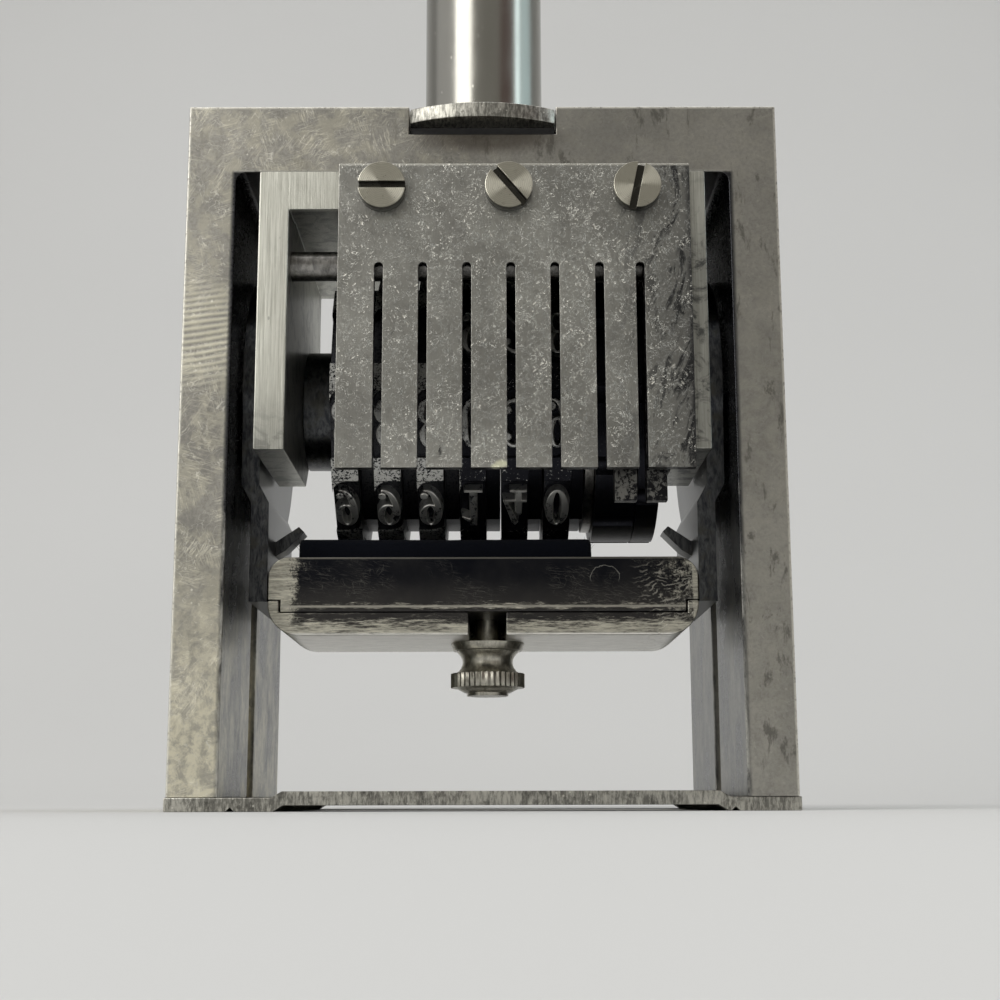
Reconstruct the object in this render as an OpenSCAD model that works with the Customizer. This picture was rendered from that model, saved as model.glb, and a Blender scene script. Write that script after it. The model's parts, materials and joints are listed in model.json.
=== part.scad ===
// Hand numbering machine: an arched steel frame on a window plate, a sliding carriage with six number
// wheels, an ink pad that swings out to the rear as the handle is pressed, and a ratchet feed.
// Z is up, the front is -Y, and the origin is on the underside of the window plate, below the plunger.

/* [Frame] */
// Outer width of the arched frame
frame_w = 52; // [50:0.5:60]
// Thickness of each leg
leg_t = 4.3; // [4:0.1:6]
// Reach of the frame ahead of the wheel axle
frame_front = 17.2; // [16:0.1:20]
// Reach of the frame behind the wheel axle
frame_back = 18.8; // [17:0.1:24]
// Thickness of the bar across the top
bar_h = 6.15; // [5:0.1:9]
// Radius in the upper corners of the arch
arch_fillet = 0.9; // [0.3:0.1:1.4]
// Depth of the guide grooves and cam slots in the legs
groove_d = 1.5; // [1.2:0.1:2]

/* [Window plate] */
// Thickness of the window plate
plate_t = 1.15; // [0.8:0.05:2]
// How far the plate stands out beyond the frame on each side
plate_lip = 0.15; // [0:0.05:1]
// Rise of the middle of the plate
plate_rise = 0.5; // [0.2:0.05:0.8]
// Clearance round the wheels in the printing window, across
window_gap = 1.5; // [0.8:0.1:1.6]
// Depth of the printing window, front to back
window_depth = 16; // [14:0.5:18]

/* [Number wheels] */
// Height of the wheel axle above the table at rest
axle_z = 37.8; // [37:0.1:39]
// Radius over the raised figures
type_r = 13.7; // [13.5:0.05:13.8]
// Distance from one number wheel to the next
wheel_pitch = 3.8; // [3.7:0.05:3.9]
// Width of the rim that carries the figures
rim_w = 2.4; // [2.3:0.05:2.5]
// Depth of the pockets milled round the figures
pocket_d = 1; // [0.5:0.1:1.2]
// Length of each pocket round the rim
pocket_len = 6.2; // [5.5:0.1:7]
// Radius of the wheel axle
axle_r = 2.5; // [2.2:0.1:3]
// Radius of the axle ends that run in the legs
axle_end_r = 1.7; // [1.5:0.1:2]
// Outer radius of the ratchet teeth
ratchet_tip_r = 11.7; // [11.4:0.05:11.8]
// Depth of the ratchet teeth
tooth_d = 1.5; // [1.3:0.1:2]
// Radius of the repeat drum and the selector disc
drum_r = 12.7; // [12.4:0.05:12.8]
// Width of the repeat drum
drum_w = 3.75; // [3.4:0.05:4]
// Width of the selector disc
disc_w = 2.05; // [1.9:0.05:2.2]

/* [Carriage] */
// Thickness of the carriage side plates
cheek_t = 2.6; // [2:0.1:3]
// Reach of the carriage ahead of the axle
carriage_front = 17.7; // [17.5:0.1:18]
// Reach of the carriage behind the axle
carriage_back = 8.5; // [7:0.1:8.6]
// How far the side plates hang below the axle
cheek_drop = 7.6; // [6:0.1:7.7]
// Thickness of the carriage top plate
deck_t = 3.2; // [2.6:0.1:3.4]
// Thickness of the comb plate
comb_t = 1; // [0.6:0.1:1.4]
// Width of the slots between the comb fingers
comb_slot_w = 0.75; // [0.5:0.05:0.9]
// How far the comb fingers hang below the axle
comb_drop = 9.4; // [8:0.1:10]
// Radius of the comb screw heads
comb_screw_r = 2.05; // [1.6:0.05:2.4]

/* [Detent pawls] */
// Distance of the pawl rod ahead of the axle
pawl_rod_y = 14.6; // [14.3:0.1:14.8]
// Height of the pawl rod above the axle
pawl_rod_up = 9.7; // [9.4:0.1:10.2]
// Radius of the pawl rod
pawl_rod_r = 1.3; // [1:0.1:1.4]
// Thickness of a pawl
pawl_t = 1; // [0.8:0.05:1.1]

/* [Ink holder] */
// Thickness of the ink arms
arm_t = 1.6; // [1.2:0.1:1.7]
// Radius of the round head of each ink arm
arm_head_r = 12.4; // [11:0.1:12.5]
// Half the width of the ink holder
holder_half_w = 18.9; // [18.5:0.1:19]
// Reach of the ink holder ahead of the axle
holder_front = 11.2; // [10:0.1:12]
// Reach of the ink holder behind the axle
holder_back = 5; // [4.5:0.1:6]
// Height of the ink frame
ink_frame_h = 4.85; // [4:0.05:5.5]
// Thickness of the floor under the felt pad
ink_floor_t = 1.6; // [1.2:0.1:2.2]
// Thickness of the tray floor
tray_floor_t = 2; // [1.5:0.1:2.4]
// How far the felt pad stands out of its frame
pad_proud = 1.9; // [1:0.1:2.4]
// Swing of the ink holder over the full stroke, in degrees
ink_swing = 100; // [90:1:102]

/* [Feed] */
// Radius from the axle to the feed rod
feed_rod_reach = 16; // [15.8:0.1:16.4]
// Radius of the feed rod
feed_rod_r = 1; // [0.8:0.1:1.2]
// Radius of the left hub of the feed arm
feed_hub_r = 5.7; // [5:0.1:6.5]
// Thickness of the feed arms
feed_arm_t = 0.8; // [0.6:0.05:0.8]

/* [Plunger] */
// Outer radius of the guide tube
tube_r = 5.8; // [5.4:0.1:6]
// Wall of the guide tube
tube_wall = 1.1; // [0.9:0.05:1.2]
// Height of the guide tube above the frame
tube_up = 35.5; // [34:0.5:40]
// Radius of the plunger rod
plunger_r = 3; // [2.6:0.1:3.1]
// Radius of the return spring's wire
wire_r = 0.4; // [0.3:0.02:0.42]
// Turns of the return spring
spring_turns = 12; // [9:1:13]
// Width of the flange plate between its flats
flange_w = 12.8; // [12.2:0.1:14]
// Thickness of the flange plate
flange_t = 1.35; // [1:0.05:1.5]
// Thickness of the buffer washer under the flange
buffer_t = 0.8; // [0.5:0.05:1]

/* [Handle] */
// Greatest radius of the handle grip
grip_r = 22; // [20.5:0.5:25]
// Height of the grip above the ferrule's lower edge
grip_h = 80; // [72:1:100]
// Outer radius of the ferrule's collar
ferrule_r = 7.5; // [7.3:0.1:8.5]

/* [Hidden] */
$fn = 64;

// Clearances
running_fit = 0.05;
seat_fit = 0.03;
end_play = 0.05;
over = 1;

// Frame
half_w = frame_w / 2;
inner_x = half_w - leg_t;
carriage_gap = 0.15;
deck_top = axle_z + type_r + 0.5 + deck_t;
arch_top = deck_top + carriage_gap;
frame_top = arch_top + bar_h;
notch_w = flange_w + 0.2;
notch_d = 2.6;
notch_floor = frame_top - notch_d;
groove_half = axle_end_r + 0.1;
groove_end_gap = 0.3;
base_screw_x = half_w - leg_t / 2;
base_screw_front = -11;
base_screw_back = 12;
base_screw_r = 0.9;
base_screw_head_r = 1.7;
base_screw_len = 6.5;
base_screw_sink = 0.05;

// Wheels, from the left
wheel_count = 6;
figures = 10;
wheels_left = -13.6;
spacer_t = 0.85;
drum_x = wheels_left + wheel_count * wheel_pitch + spacer_t + 0.05;
disc_x = drum_x + drum_w + end_play;
stack_right = disc_x + disc_w;
travel = axle_z - type_r - 0.1;
rim_r = type_r - 0.1;
nose_drop = 1.3;
nose_r = ratchet_tip_r + 0.15;
nose_angle = 180 + asin(nose_drop / nose_r);
drum_nose_r = drum_r + 0.12;
detent_scoop_r = 1;
drum_detents = 12;
disc_detents = 8;

// Carriage and comb
arm_gap = 0.3;
arm_out = inner_x - arm_gap;
arm_in = arm_out - arm_t;
cheek_out = arm_in - arm_gap;
cheek_x = cheek_out - cheek_t;
cheek_bottom = axle_z - cheek_drop;
cheek_foot_back = -1.3;
front_bar_t = deck_t + 0.3;
front_bar_depth = 3.5;
comb_left = wheels_left + 1.1;
comb_right = cheek_x + 1.15;
comb_bottom = axle_z - comb_drop;
comb_top = deck_top + 0.3;
comb_slot_top = axle_z + 8.7;
comb_slot_shift = 0.85;
comb_screw_z = deck_top - 2.1;
comb_screw_xs = [-8.7, 2.3, 13.4];
comb_screw_slots = [0, -50, 78];
comb_screw_shank_r = 1;
comb_screw_head_t = 1.3;
comb_screw_reach = 3.6;
screw_slot_w = 0.62;
screw_slot_d = 0.75;

// Pawls
pawl_pivot = [-pawl_rod_y, axle_z + pawl_rod_up];
pawl_bar_front = -carriage_front + 1.4;
pawl_bar_w = 1.6;
pawl_bar_drops = [3.8, 11.8, 11.8];
pawl_7_t = 1.9;
pawl_8_t = 1.75;
pawl_boss_r = pawl_rod_r + 1;

// Ink holder
arm_foot_bottom = axle_z - type_r - 6.1;
arm_crank_down = 9.4;
cam_r = 9;
cam_start = 75;
cam_pin_r = 1.2;
cam_half = cam_pin_r + 0.15;
cam_steps = 16;
pad_gap = 0.25;
pad_top = axle_z - type_r - pad_gap;
ink_frame_top = pad_top - pad_proud;
ink_frame_bottom = ink_frame_top - ink_frame_h;
pad_floor = ink_frame_bottom + ink_floor_t;
ink_frame_corner = 1.8;
ledge_z = ink_frame_bottom + 1;
tray_wall = 1;
tray_top = ink_frame_bottom - 0.05;
tray_bottom = tray_top - tray_floor_t;
tray_corner = 2.8;
pad_end_wall = 2.4;
pad_left = pad_end_wall - holder_half_w;
pad_right = drum_x - 0.4;
pad_margin = 1.9;
pad_clear = 0.15;
rivet_r = 0.9;
rivet_head_r = 1.5;
rivet_head_t = 0.4;
rivet_front = -7;
rivet_back = 1;
rivet_z = axle_z - type_r - 4.1;
rivet_grip = 1.5;

// Thumb screw
thumb_x = 0.35;
thumb_y = (holder_back - holder_front) / 2;
thumb_shank_r = 1.2;
thumb_slot_w = 3.3;
cup_r = 3.4;
cup_t = 0.7;
thumb_head_r = 3.4;
thumb_head_t = 1.3;
thumb_neck_r = 2.3;
thumb_neck_h = 2.05;
thumb_flare = 0.6;
thumb_teeth = 40;
thumb_tooth_d = 0.16;
thumb_dome_r = 2.1;
thumb_thread_len = ink_floor_t - 0.1;

// Feed
feed_start = 104;
feed_pivot = [feed_rod_reach * sin(feed_start), axle_z - feed_rod_reach * cos(feed_start)];
feed_sleeve_r = feed_rod_r + 0.75;
feed_nose_back = 21;
feed_nose_reach = ratchet_tip_r + 0.75;
feed_nose = [feed_nose_reach * sin(feed_start - feed_nose_back),
             axle_z - feed_nose_reach * cos(feed_start - feed_nose_back)];
feed_left_arm_t = 1.4;

// Plunger and handle
tube_bottom = arch_top;
tube_top = frame_top + tube_up;
tube_in_r = tube_r - tube_wall;
spring_seat = tube_bottom + 2.15;
collar_t = 3;
collar_bottom = tube_top - collar_t - 1;
coil_r = (plunger_r + tube_in_r) / 2;
coil_sides = 6;
coil_steps = 18;
spigot_r = plunger_r - 0.6;
ferrule_bottom = frame_top + travel + 2;
ferrule_in_r = tube_r + 0.08;
ferrule_skirt_r = ferrule_in_r + 1;
ferrule_collar_h = 2.5;
ferrule_top = tube_top + travel + 1;
plunger_top = ferrule_top + 28;
grip_bottom = ferrule_bottom + ferrule_collar_h;
grip_top = ferrule_bottom + grip_h;
grip_dome = 16;
grip_rim = 5;
flange_front = frame_front + 2;
flange_arc_r = 13.6;

function wheel_x(k) = wheels_left + k * wheel_pitch;
function ratchet_gap_x(k) = wheel_x(k) + rim_w + end_play + 0.2;
function pawl_x(k) = k < wheel_count ? ratchet_gap_x(k) : (k == wheel_count ? drum_x + 1.2 : disc_x + 0.15);
function polar(r, a) = [r * cos(a), r * sin(a)];
function comb_slot_x(i) = i < wheel_count - 1 ? wheel_x(i + 1) + comb_slot_shift
    : (i == wheel_count - 1 ? drum_x : disc_x - 0.3);

// A block from its low and high values along each axis
module block(x, y, z) {
    translate([x[0], y[0], z[0]]) cube([x[1] - x[0], y[1] - y[0], z[1] - z[0]]);
}

// Extrudes an outline drawn as (Y, Z) from x0 to x1
module along_x(x0, x1) {
    translate([x0, 0, 0]) rotate([90, 0, 90]) linear_extrude(x1 - x0) children();
}

// Extrudes an outline drawn as (X, Z) from y0 to y1
module along_y(y0, y1) {
    translate([0, y1, 0]) rotate([90, 0, 0]) linear_extrude(y1 - y0) children();
}

// A round bar along X at a point (Y, Z)
module bar_x(r, x0, x1, at) {
    translate([x0, at[0], at[1]]) rotate([0, 90, 0]) cylinder(r = r, h = x1 - x0);
}

// The same thing on both sides of the machine
module both_sides() {
    for (side = [0, 1]) mirror([side, 0, 0]) children();
}

// The path of the cam pin in the leg, as the carriage goes down by t
function cam_angle(t) = cam_start + ink_swing * t / travel;
function cam_point(t) = [cam_r * sin(cam_angle(t)), axle_z - t - cam_r * cos(cam_angle(t))];
function cam_heading(t) = let (d = cam_point(t + 0.01) - cam_point(t - 0.01)) d / norm(d);
function cam_edge(t, w) = cam_point(t) + w * [-cam_heading(t)[1], cam_heading(t)[0]];

module cam_slot_outline() {
    polygon(concat([for (i = [0:cam_steps]) cam_edge(travel * i / cam_steps, cam_half)],
                   [for (i = [cam_steps:-1:0]) cam_edge(travel * i / cam_steps, -cam_half)]));
    translate(cam_point(0)) circle(r = cam_half);
    translate(cam_point(travel)) circle(r = cam_half);
}

module guide_groove_outline() {
    translate([-groove_half, 0]) square([2 * groove_half, axle_z]);
    translate([0, axle_z]) circle(r = groove_half);
}

module arch_outline() {
    translate([-inner_x, 0]) square([2 * inner_x, arch_top - arch_fillet]);
    translate([arch_fillet - inner_x, 0]) square([2 * (inner_x - arch_fillet), arch_top]);
    for (side = [-1, 1])
        translate([side * (inner_x - arch_fillet), arch_top - arch_fillet]) circle(r = arch_fillet);
}

module base_screw_places() {
    for (x = [-base_screw_x, base_screw_x], y = [base_screw_front, base_screw_back])
        translate([x, y, 0]) children();
}

module frame() {
    color("silver") difference() {
        block([-half_w, half_w], [-frame_front, frame_back], [plate_t, frame_top]);
        along_y(-frame_front - over, frame_back + over) arch_outline();
        block([-notch_w / 2, notch_w / 2], [-frame_front - over, frame_back + over],
              [notch_floor, frame_top + over]);
        translate([0, 0, arch_top - over]) cylinder(r = tube_r + seat_fit, h = bar_h + 2 * over);
        both_sides() along_x(inner_x - over, inner_x + groove_d) guide_groove_outline();
        both_sides() along_x(inner_x - over, inner_x + groove_d) cam_slot_outline();
        base_screw_places() cylinder(r = base_screw_r + seat_fit, h = base_screw_len + 0.5);
    }
}

// Front outline of the window plate: both ends lie on the table, the middle is pressed up a little,
// and a small V groove runs along each fold
module plate_outline() {
    end_x = half_w + plate_lip;
    left_x = -16.35;
    right_x = 19.3;
    slope = 0.85;
    groove_x = 20.7;
    groove = 0.35;
    polygon([[-end_x, 0], [-groove_x - groove, 0], [-groove_x, groove], [groove - groove_x, 0],
             [left_x - slope, 0], [left_x, plate_rise], [right_x, plate_rise], [right_x + slope, 0],
             [groove_x - groove, 0], [groove_x, groove], [groove_x + groove, 0], [end_x, 0],
             [end_x, plate_t], [right_x + slope + 0.15, plate_t], [right_x + 0.15, plate_t + plate_rise],
             [left_x - 0.15, plate_t + plate_rise], [left_x - slope - 0.15, plate_t], [-end_x, plate_t]]);
}

module base_plate() {
    color("silver") difference() {
        along_y(-frame_front, frame_back) plate_outline();
        block([wheels_left - window_gap, stack_right + window_gap], [-window_depth / 2, window_depth / 2],
              [-over, plate_t + plate_rise + over]);
        base_screw_places() {
            translate([0, 0, -over]) cylinder(r = base_screw_r + running_fit, h = plate_t + 2 * over);
            cylinder(r1 = base_screw_head_r + seat_fit, r2 = base_screw_r + seat_fit, h = 0.85);
            translate([0, 0, -over]) cylinder(r = base_screw_head_r + seat_fit, h = over);
        }
    }
}

// Countersunk screws that hold the legs on the window plate
module base_screws() {
    color("gray") base_screw_places() difference() {
        union() {
            translate([0, 0, base_screw_sink])
                cylinder(r1 = base_screw_head_r - 0.05, r2 = base_screw_r, h = 0.8);
            translate([0, 0, base_screw_sink]) cylinder(r = base_screw_r, h = base_screw_len);
        }
        translate([-base_screw_head_r, -0.2, -over]) cube([2 * base_screw_head_r, 0.4, over + 0.4]);
    }
}

// Round front and back, flat sides that sit in the notch
module flange_outline() {
    intersection() {
        square([flange_w, 2 * flange_front], center = true);
        for (side = [-1, 1]) translate([0, side * (flange_front - flange_arc_r)]) circle(r = flange_arc_r);
    }
}

module tube_flange() {
    color("silver") translate([0, 0, notch_floor + buffer_t]) linear_extrude(flange_t) difference() {
        flange_outline();
        circle(r = tube_r + seat_fit);
    }
}

module buffer_washer() {
    color("dimgray") translate([0, 0, notch_floor]) linear_extrude(buffer_t) difference() {
        intersection() {
            flange_outline();
            square([flange_w, 2 * frame_front - 1], center = true);
        }
        circle(r = tube_r + seat_fit);
    }
}

module guide_tube() {
    color("gainsboro") difference() {
        translate([0, 0, tube_bottom]) cylinder(r = tube_r, h = tube_top - tube_bottom);
        translate([0, 0, spring_seat]) cylinder(r = tube_in_r, h = tube_top);
        translate([0, 0, tube_bottom - over]) cylinder(r = plunger_r + running_fit, h = bar_h);
    }
}

// Return spring: a coil swept by functions between the tube's floor and the collar on the plunger
coil_bottom = spring_seat + wire_r + 0.02;
coil_top = collar_bottom - wire_r - 0.02;
coil_rings = spring_turns * coil_steps;

function coil_point(i, j) =
    let (turn = 360 * i / coil_steps,
         round_wire = 360 * j / coil_sides,
         rise = (coil_top - coil_bottom) * i / coil_rings,
         r = coil_r + wire_r * cos(round_wire))
    [r * cos(turn), r * sin(turn), coil_bottom + rise + wire_r * sin(round_wire)];

module return_spring() {
    points = [for (i = [0:coil_rings], j = [0:coil_sides - 1]) coil_point(i, j)];
    sides = [for (i = [0:coil_rings - 1], j = [0:coil_sides - 1])
        let (next = (j + 1) % coil_sides)
        [i * coil_sides + j, (i + 1) * coil_sides + j, (i + 1) * coil_sides + next, i * coil_sides + next]];
    first_end = [[for (j = [0:coil_sides - 1]) j]];
    last_end = [[for (j = [coil_sides - 1:-1:0]) coil_rings * coil_sides + j]];
    color("gray") polyhedron(points = points, faces = concat(sides, first_end, last_end));
}

// Side outline of a cheek: its lower edge rises at 45 degrees behind the foot
module cheek_outline() {
    polygon([[-carriage_front, cheek_bottom], [cheek_foot_back, cheek_bottom],
             [carriage_back, cheek_bottom + carriage_back - cheek_foot_back],
             [carriage_back, deck_top], [-carriage_front, deck_top]]);
}

module carriage() {
    color("silver") difference() {
        union() {
            block([-cheek_out, cheek_out], [-carriage_front, carriage_back], [deck_top - deck_t, deck_top]);
            block([-cheek_out, cheek_out], [-carriage_front, front_bar_depth - carriage_front],
                  [deck_top - front_bar_t, deck_top]);
            both_sides() along_x(cheek_x, cheek_out) cheek_outline();
        }
        bar_x(axle_r + running_fit, -half_w, half_w, [0, axle_z]);
        bar_x(pawl_rod_r + seat_fit, -half_w, half_w, pawl_pivot);
        translate([0, 0, deck_top - deck_t - over]) cylinder(r = spigot_r + seat_fit, h = deck_t + 2 * over);
        for (x = comb_screw_xs) translate([x, front_bar_depth - carriage_front + 0.8, comb_screw_z])
            rotate([90, 0, 0]) cylinder(r = comb_screw_shank_r + seat_fit, h = front_bar_depth + 2 * over);
    }
}

module comb_plate() {
    color("darkgray") difference() {
        along_y(-carriage_front - comb_t, -carriage_front) difference() {
            translate([comb_left, comb_bottom]) square([comb_right - comb_left, comb_top - comb_bottom]);
            for (i = [0:wheel_count]) translate([comb_slot_x(i), 0]) {
                translate([-comb_slot_w / 2, 0]) square([comb_slot_w, comb_slot_top - comb_slot_w / 2]);
                translate([0, comb_slot_top - comb_slot_w / 2]) circle(r = comb_slot_w / 2);
            }
        }
        for (x = comb_screw_xs) translate([x, -carriage_front + over, comb_screw_z]) rotate([90, 0, 0])
            cylinder(r = comb_screw_shank_r + running_fit, h = comb_t + 2 * over);
    }
}

module comb_screws() {
    color("whitesmoke") for (i = [0:len(comb_screw_xs) - 1])
        translate([comb_screw_xs[i], -carriage_front - comb_t, comb_screw_z]) rotate([90, 0, 0]) difference() {
            union() {
                cylinder(r = comb_screw_r, h = comb_screw_head_t);
                translate([0, 0, -comb_t - comb_screw_reach])
                    cylinder(r = comb_screw_shank_r, h = comb_t + comb_screw_reach + 0.1);
            }
            rotate([0, 0, comb_screw_slots[i]]) translate([-over - comb_screw_r, -screw_slot_w / 2,
                comb_screw_head_t - screw_slot_d])
                cube([2 * (comb_screw_r + over), screw_slot_w, screw_slot_d + over]);
        }
}

module wheel_axle() {
    axle_end = inner_x + groove_d - groove_end_gap;
    color("gray") union() {
        bar_x(axle_r, -cheek_out, cheek_out, [0, axle_z]);
        bar_x(axle_end_r, -axle_end, axle_end, [0, axle_z]);
    }
}

module pawl_rod() {
    color("gray") bar_x(pawl_rod_r, -cheek_out, cheek_out, pawl_pivot);
}

module drum_spacer() {
    color("lightgray") difference() {
        bar_x(ratchet_tip_r, wheel_x(wheel_count) + 0.02, drum_x - 0.05, [0, axle_z]);
        bar_x(axle_r + seat_fit, wheel_x(wheel_count) - over, drum_x + over, [0, axle_z]);
    }
}

// Saw teeth with their gullet at the detent pawl's nose
module ratchet_outline() {
    lead = 2;
    step = 360 / figures;
    root = ratchet_tip_r - tooth_d;
    polygon([for (i = [0:figures - 1], p = [[0, root], [step / 2, ratchet_tip_r - tooth_d / 2],
                                            [step - 0.5, ratchet_tip_r]])
        polar(p[1], nose_angle - lead - asin(0.65 / nose_r) + i * step + p[0])]);
}

// Rim with a pocket round each figure. Figures stand at straight down and every 36 degrees from it
module rim_outline() {
    difference() {
        circle(r = rim_r);
        for (i = [0:figures - 1]) rotate(270 + 360 * i / figures)
            translate([rim_r - pocket_d, -pocket_len / 2]) square([2 * pocket_d + over, pocket_len]);
    }
}

module number_wheel(k) {
    rim_start = wheel_x(k) + end_play;
    color([0.14, 0.14, 0.15]) translate([0, 0, axle_z]) difference() {
        union() {
            along_x(rim_start, rim_start + rim_w) rim_outline();
            along_x(rim_start + rim_w - 0.1, wheel_x(k) + wheel_pitch - end_play) ratchet_outline();
        }
        bar_x(axle_r + running_fit, rim_start - over, rim_start + wheel_pitch + over, [0, 0]);
    }
}

// A drum with shallow scoops that a detent pawl's nose drops into
module detent_drum(x, w, scoops) {
    difference() {
        bar_x(drum_r, x, x + w, [0, axle_z]);
        bar_x(axle_r + running_fit, x - over, x + w + over, [0, axle_z]);
        for (i = [0:scoops - 1])
            bar_x(detent_scoop_r, x - over, x + w + over,
                  [0, axle_z] + polar(drum_r + 0.4, nose_angle + i * 360 / scoops));
    }
}

module repeat_drum() {
    color([0.12, 0.12, 0.13]) detent_drum(drum_x, drum_w, drum_detents);
}

module selector_disc() {
    color([0.12, 0.12, 0.13]) detent_drum(disc_x, disc_w, disc_detents);
}

// Side outline of a pawl: a boss on the rod, a bar down behind the comb finger and a nose on the wheel
module pawl_outline(tip_r, bottom, nose_half) {
    tip = [0, axle_z] + polar(tip_r, nose_angle);
    bar_back = pawl_bar_front + pawl_bar_w;
    inside = pawl_boss_r - 0.15;
    difference() {
        union() {
            translate(pawl_pivot) circle(r = pawl_boss_r);
            polygon([pawl_pivot + [0, inside], [pawl_bar_front + 0.6, pawl_pivot[1] + 1.6],
                     [pawl_bar_front, pawl_pivot[1] + 0.8], [pawl_bar_front, bottom],
                     [bar_back - 0.5, bottom], [bar_back, bottom + 0.6], [bar_back, tip[1] - 1.6],
                     tip - [0, nose_half], tip + [0, nose_half], [bar_back, tip[1] + 1.8],
                     [bar_back, pawl_pivot[1] - 3], pawl_pivot - [0, inside]]);
        }
        translate(pawl_pivot) circle(r = pawl_rod_r + running_fit);
    }
}

module detent_pawl(k) {
    color("dimgray") {
        if (k < wheel_count) {
            along_x(pawl_x(k), pawl_x(k) + pawl_t) pawl_outline(nose_r, axle_z - pawl_bar_drops[0], 0.6);
        }
        if (k == wheel_count) {
            along_x(pawl_x(k), pawl_x(k) + pawl_7_t)
                pawl_outline(drum_nose_r, axle_z - pawl_bar_drops[1], 0.3);
        }
        if (k == wheel_count + 1) {
            along_x(pawl_x(k), pawl_x(k) + pawl_8_t)
                pawl_outline(drum_nose_r, axle_z - pawl_bar_drops[2], 0.3);
        }
    }
}

module plunger_rod() {
    color("silver") union() {
        translate([0, 0, deck_top - deck_t]) cylinder(r = spigot_r, h = deck_t + 0.1);
        translate([0, 0, deck_top]) cylinder(r = plunger_r, h = plunger_top - deck_top);
    }
}

module spring_collar() {
    color("gray") translate([0, 0, collar_bottom]) difference() {
        cylinder(r = tube_in_r - 0.08, h = collar_t);
        translate([0, 0, -over]) cylinder(r = plunger_r + seat_fit, h = collar_t + 2 * over);
    }
}

module handle_ferrule() {
    color("silver") difference() {
        union() {
            translate([0, 0, ferrule_bottom]) cylinder(r = ferrule_r, h = ferrule_collar_h);
            translate([0, 0, ferrule_bottom]) cylinder(r = ferrule_skirt_r, h = ferrule_top - ferrule_bottom);
        }
        translate([0, 0, ferrule_bottom - over])
            cylinder(r = ferrule_in_r, h = ferrule_top - ferrule_bottom + 2 * over);
    }
}

// Half outline of the turned grip: a waist above the ferrule, a swelling shoulder and a domed top
function grip_shoulder(s) = [ferrule_r + 2 + (grip_r - ferrule_r - 2) * (1 - cos(180 * s)) / 2,
                             grip_bottom + 6 + (grip_top - grip_dome - grip_rim - grip_bottom - 6) * s];
function grip_cap(s) = [grip_r * cos(90 * s), grip_top - grip_dome + grip_dome * sin(90 * s)];

module handle_grip() {
    shoulder = [for (i = [0:14]) grip_shoulder(i / 14)];
    cap = [for (i = [0:12]) grip_cap(i / 12)];
    color([0.07, 0.07, 0.07]) difference() {
        rotate_extrude() polygon(concat([[0, grip_bottom], [ferrule_r, grip_bottom],
                                         [ferrule_r + 1.5, grip_bottom + 1.5]], shoulder, cap));
        translate([0, 0, grip_bottom - over])
            cylinder(r = ferrule_skirt_r + seat_fit, h = ferrule_top - grip_bottom + over);
        translate([0, 0, grip_bottom]) cylinder(r = plunger_r + seat_fit, h = plunger_top - grip_bottom + 0.1);
    }
}

// Side outline of an ink arm: a round head on the axle and a foot beside the holder
module ink_arm_outline() {
    lean = 30;
    inside = arm_head_r - 0.2;
    difference() {
        union() {
            translate([0, axle_z]) circle(r = arm_head_r);
            polygon([[0, axle_z] - polar(inside, 8), [-holder_front, arm_foot_bottom + 6],
                     [-holder_front, arm_foot_bottom], [holder_back, arm_foot_bottom],
                     [holder_back, arm_foot_bottom + 7], [0, axle_z] + polar(inside, -lean)]);
        }
        translate([0, axle_z]) circle(r = axle_end_r + running_fit);
        translate(cam_point(0)) circle(r = cam_pin_r + seat_fit);
    }
}

// Front outline of the right arm: flat beside the leg, cranked inwards to meet the ink frame
module ink_arm_profile() {
    foot_in = holder_half_w + 0.05;
    foot_out = foot_in + arm_t;
    crank = axle_z - arm_crank_down;
    polygon([[arm_in, axle_z + arm_head_r + over], [arm_out, axle_z + arm_head_r + over],
             [arm_out, crank], [foot_out, crank - 1.6], [foot_out, arm_foot_bottom - over],
             [foot_in, arm_foot_bottom - over], [foot_in, crank - 1.6], [arm_in, crank]]);
}

// The slanted lip on each arm's foot that reaches in over the end of the ink frame
module ink_arm_lip() {
    foot_in = holder_half_w + 0.05;
    tip_x = stack_right + 0.4;
    low = ink_frame_top + 0.6;
    along_y(-6.5, -4) polygon([[foot_in + 0.3, low], [foot_in - 0.9, low + 0.7], [tip_x, low + 2.4],
                              [tip_x + 0.5, low + 2.9], [foot_in, low + 1.5], [foot_in + 0.3, low + 1.5]]);
}

module ink_arm() {
    difference() {
        union() {
            intersection() {
                along_x(0, half_w) ink_arm_outline();
                along_y(-frame_front - over, frame_back + over) ink_arm_profile();
            }
            ink_arm_lip();
        }
        for (y = [rivet_front, rivet_back]) bar_x(rivet_r + seat_fit, 0, half_w, [y, rivet_z]);
    }
}

module ink_arm_left() {
    color("darkgray") mirror([1, 0, 0]) ink_arm();
}

module ink_arm_right() {
    color("darkgray") ink_arm();
}

module cam_pins() {
    color("gray") both_sides() bar_x(cam_pin_r, arm_in + 0.1, inner_x + groove_d - groove_end_gap, cam_point(0));
}

// Front outline of the ink frame: wide above the ledge, narrow where it drops between the tray walls
module ink_frame_outline() {
    narrow = holder_half_w - tray_wall - 0.1;
    c = ink_frame_corner;
    translate([-narrow, ink_frame_bottom]) square([2 * narrow, ink_frame_h - c]);
    translate([-holder_half_w, ledge_z + 0.05]) square([2 * holder_half_w, ink_frame_top - c - ledge_z - 0.05]);
    translate([c - holder_half_w, ink_frame_top - 2 * c]) square([2 * (holder_half_w - c), 2 * c]);
    for (side = [-1, 1]) translate([side * (holder_half_w - c), ink_frame_top - c]) circle(r = c);
}

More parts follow.
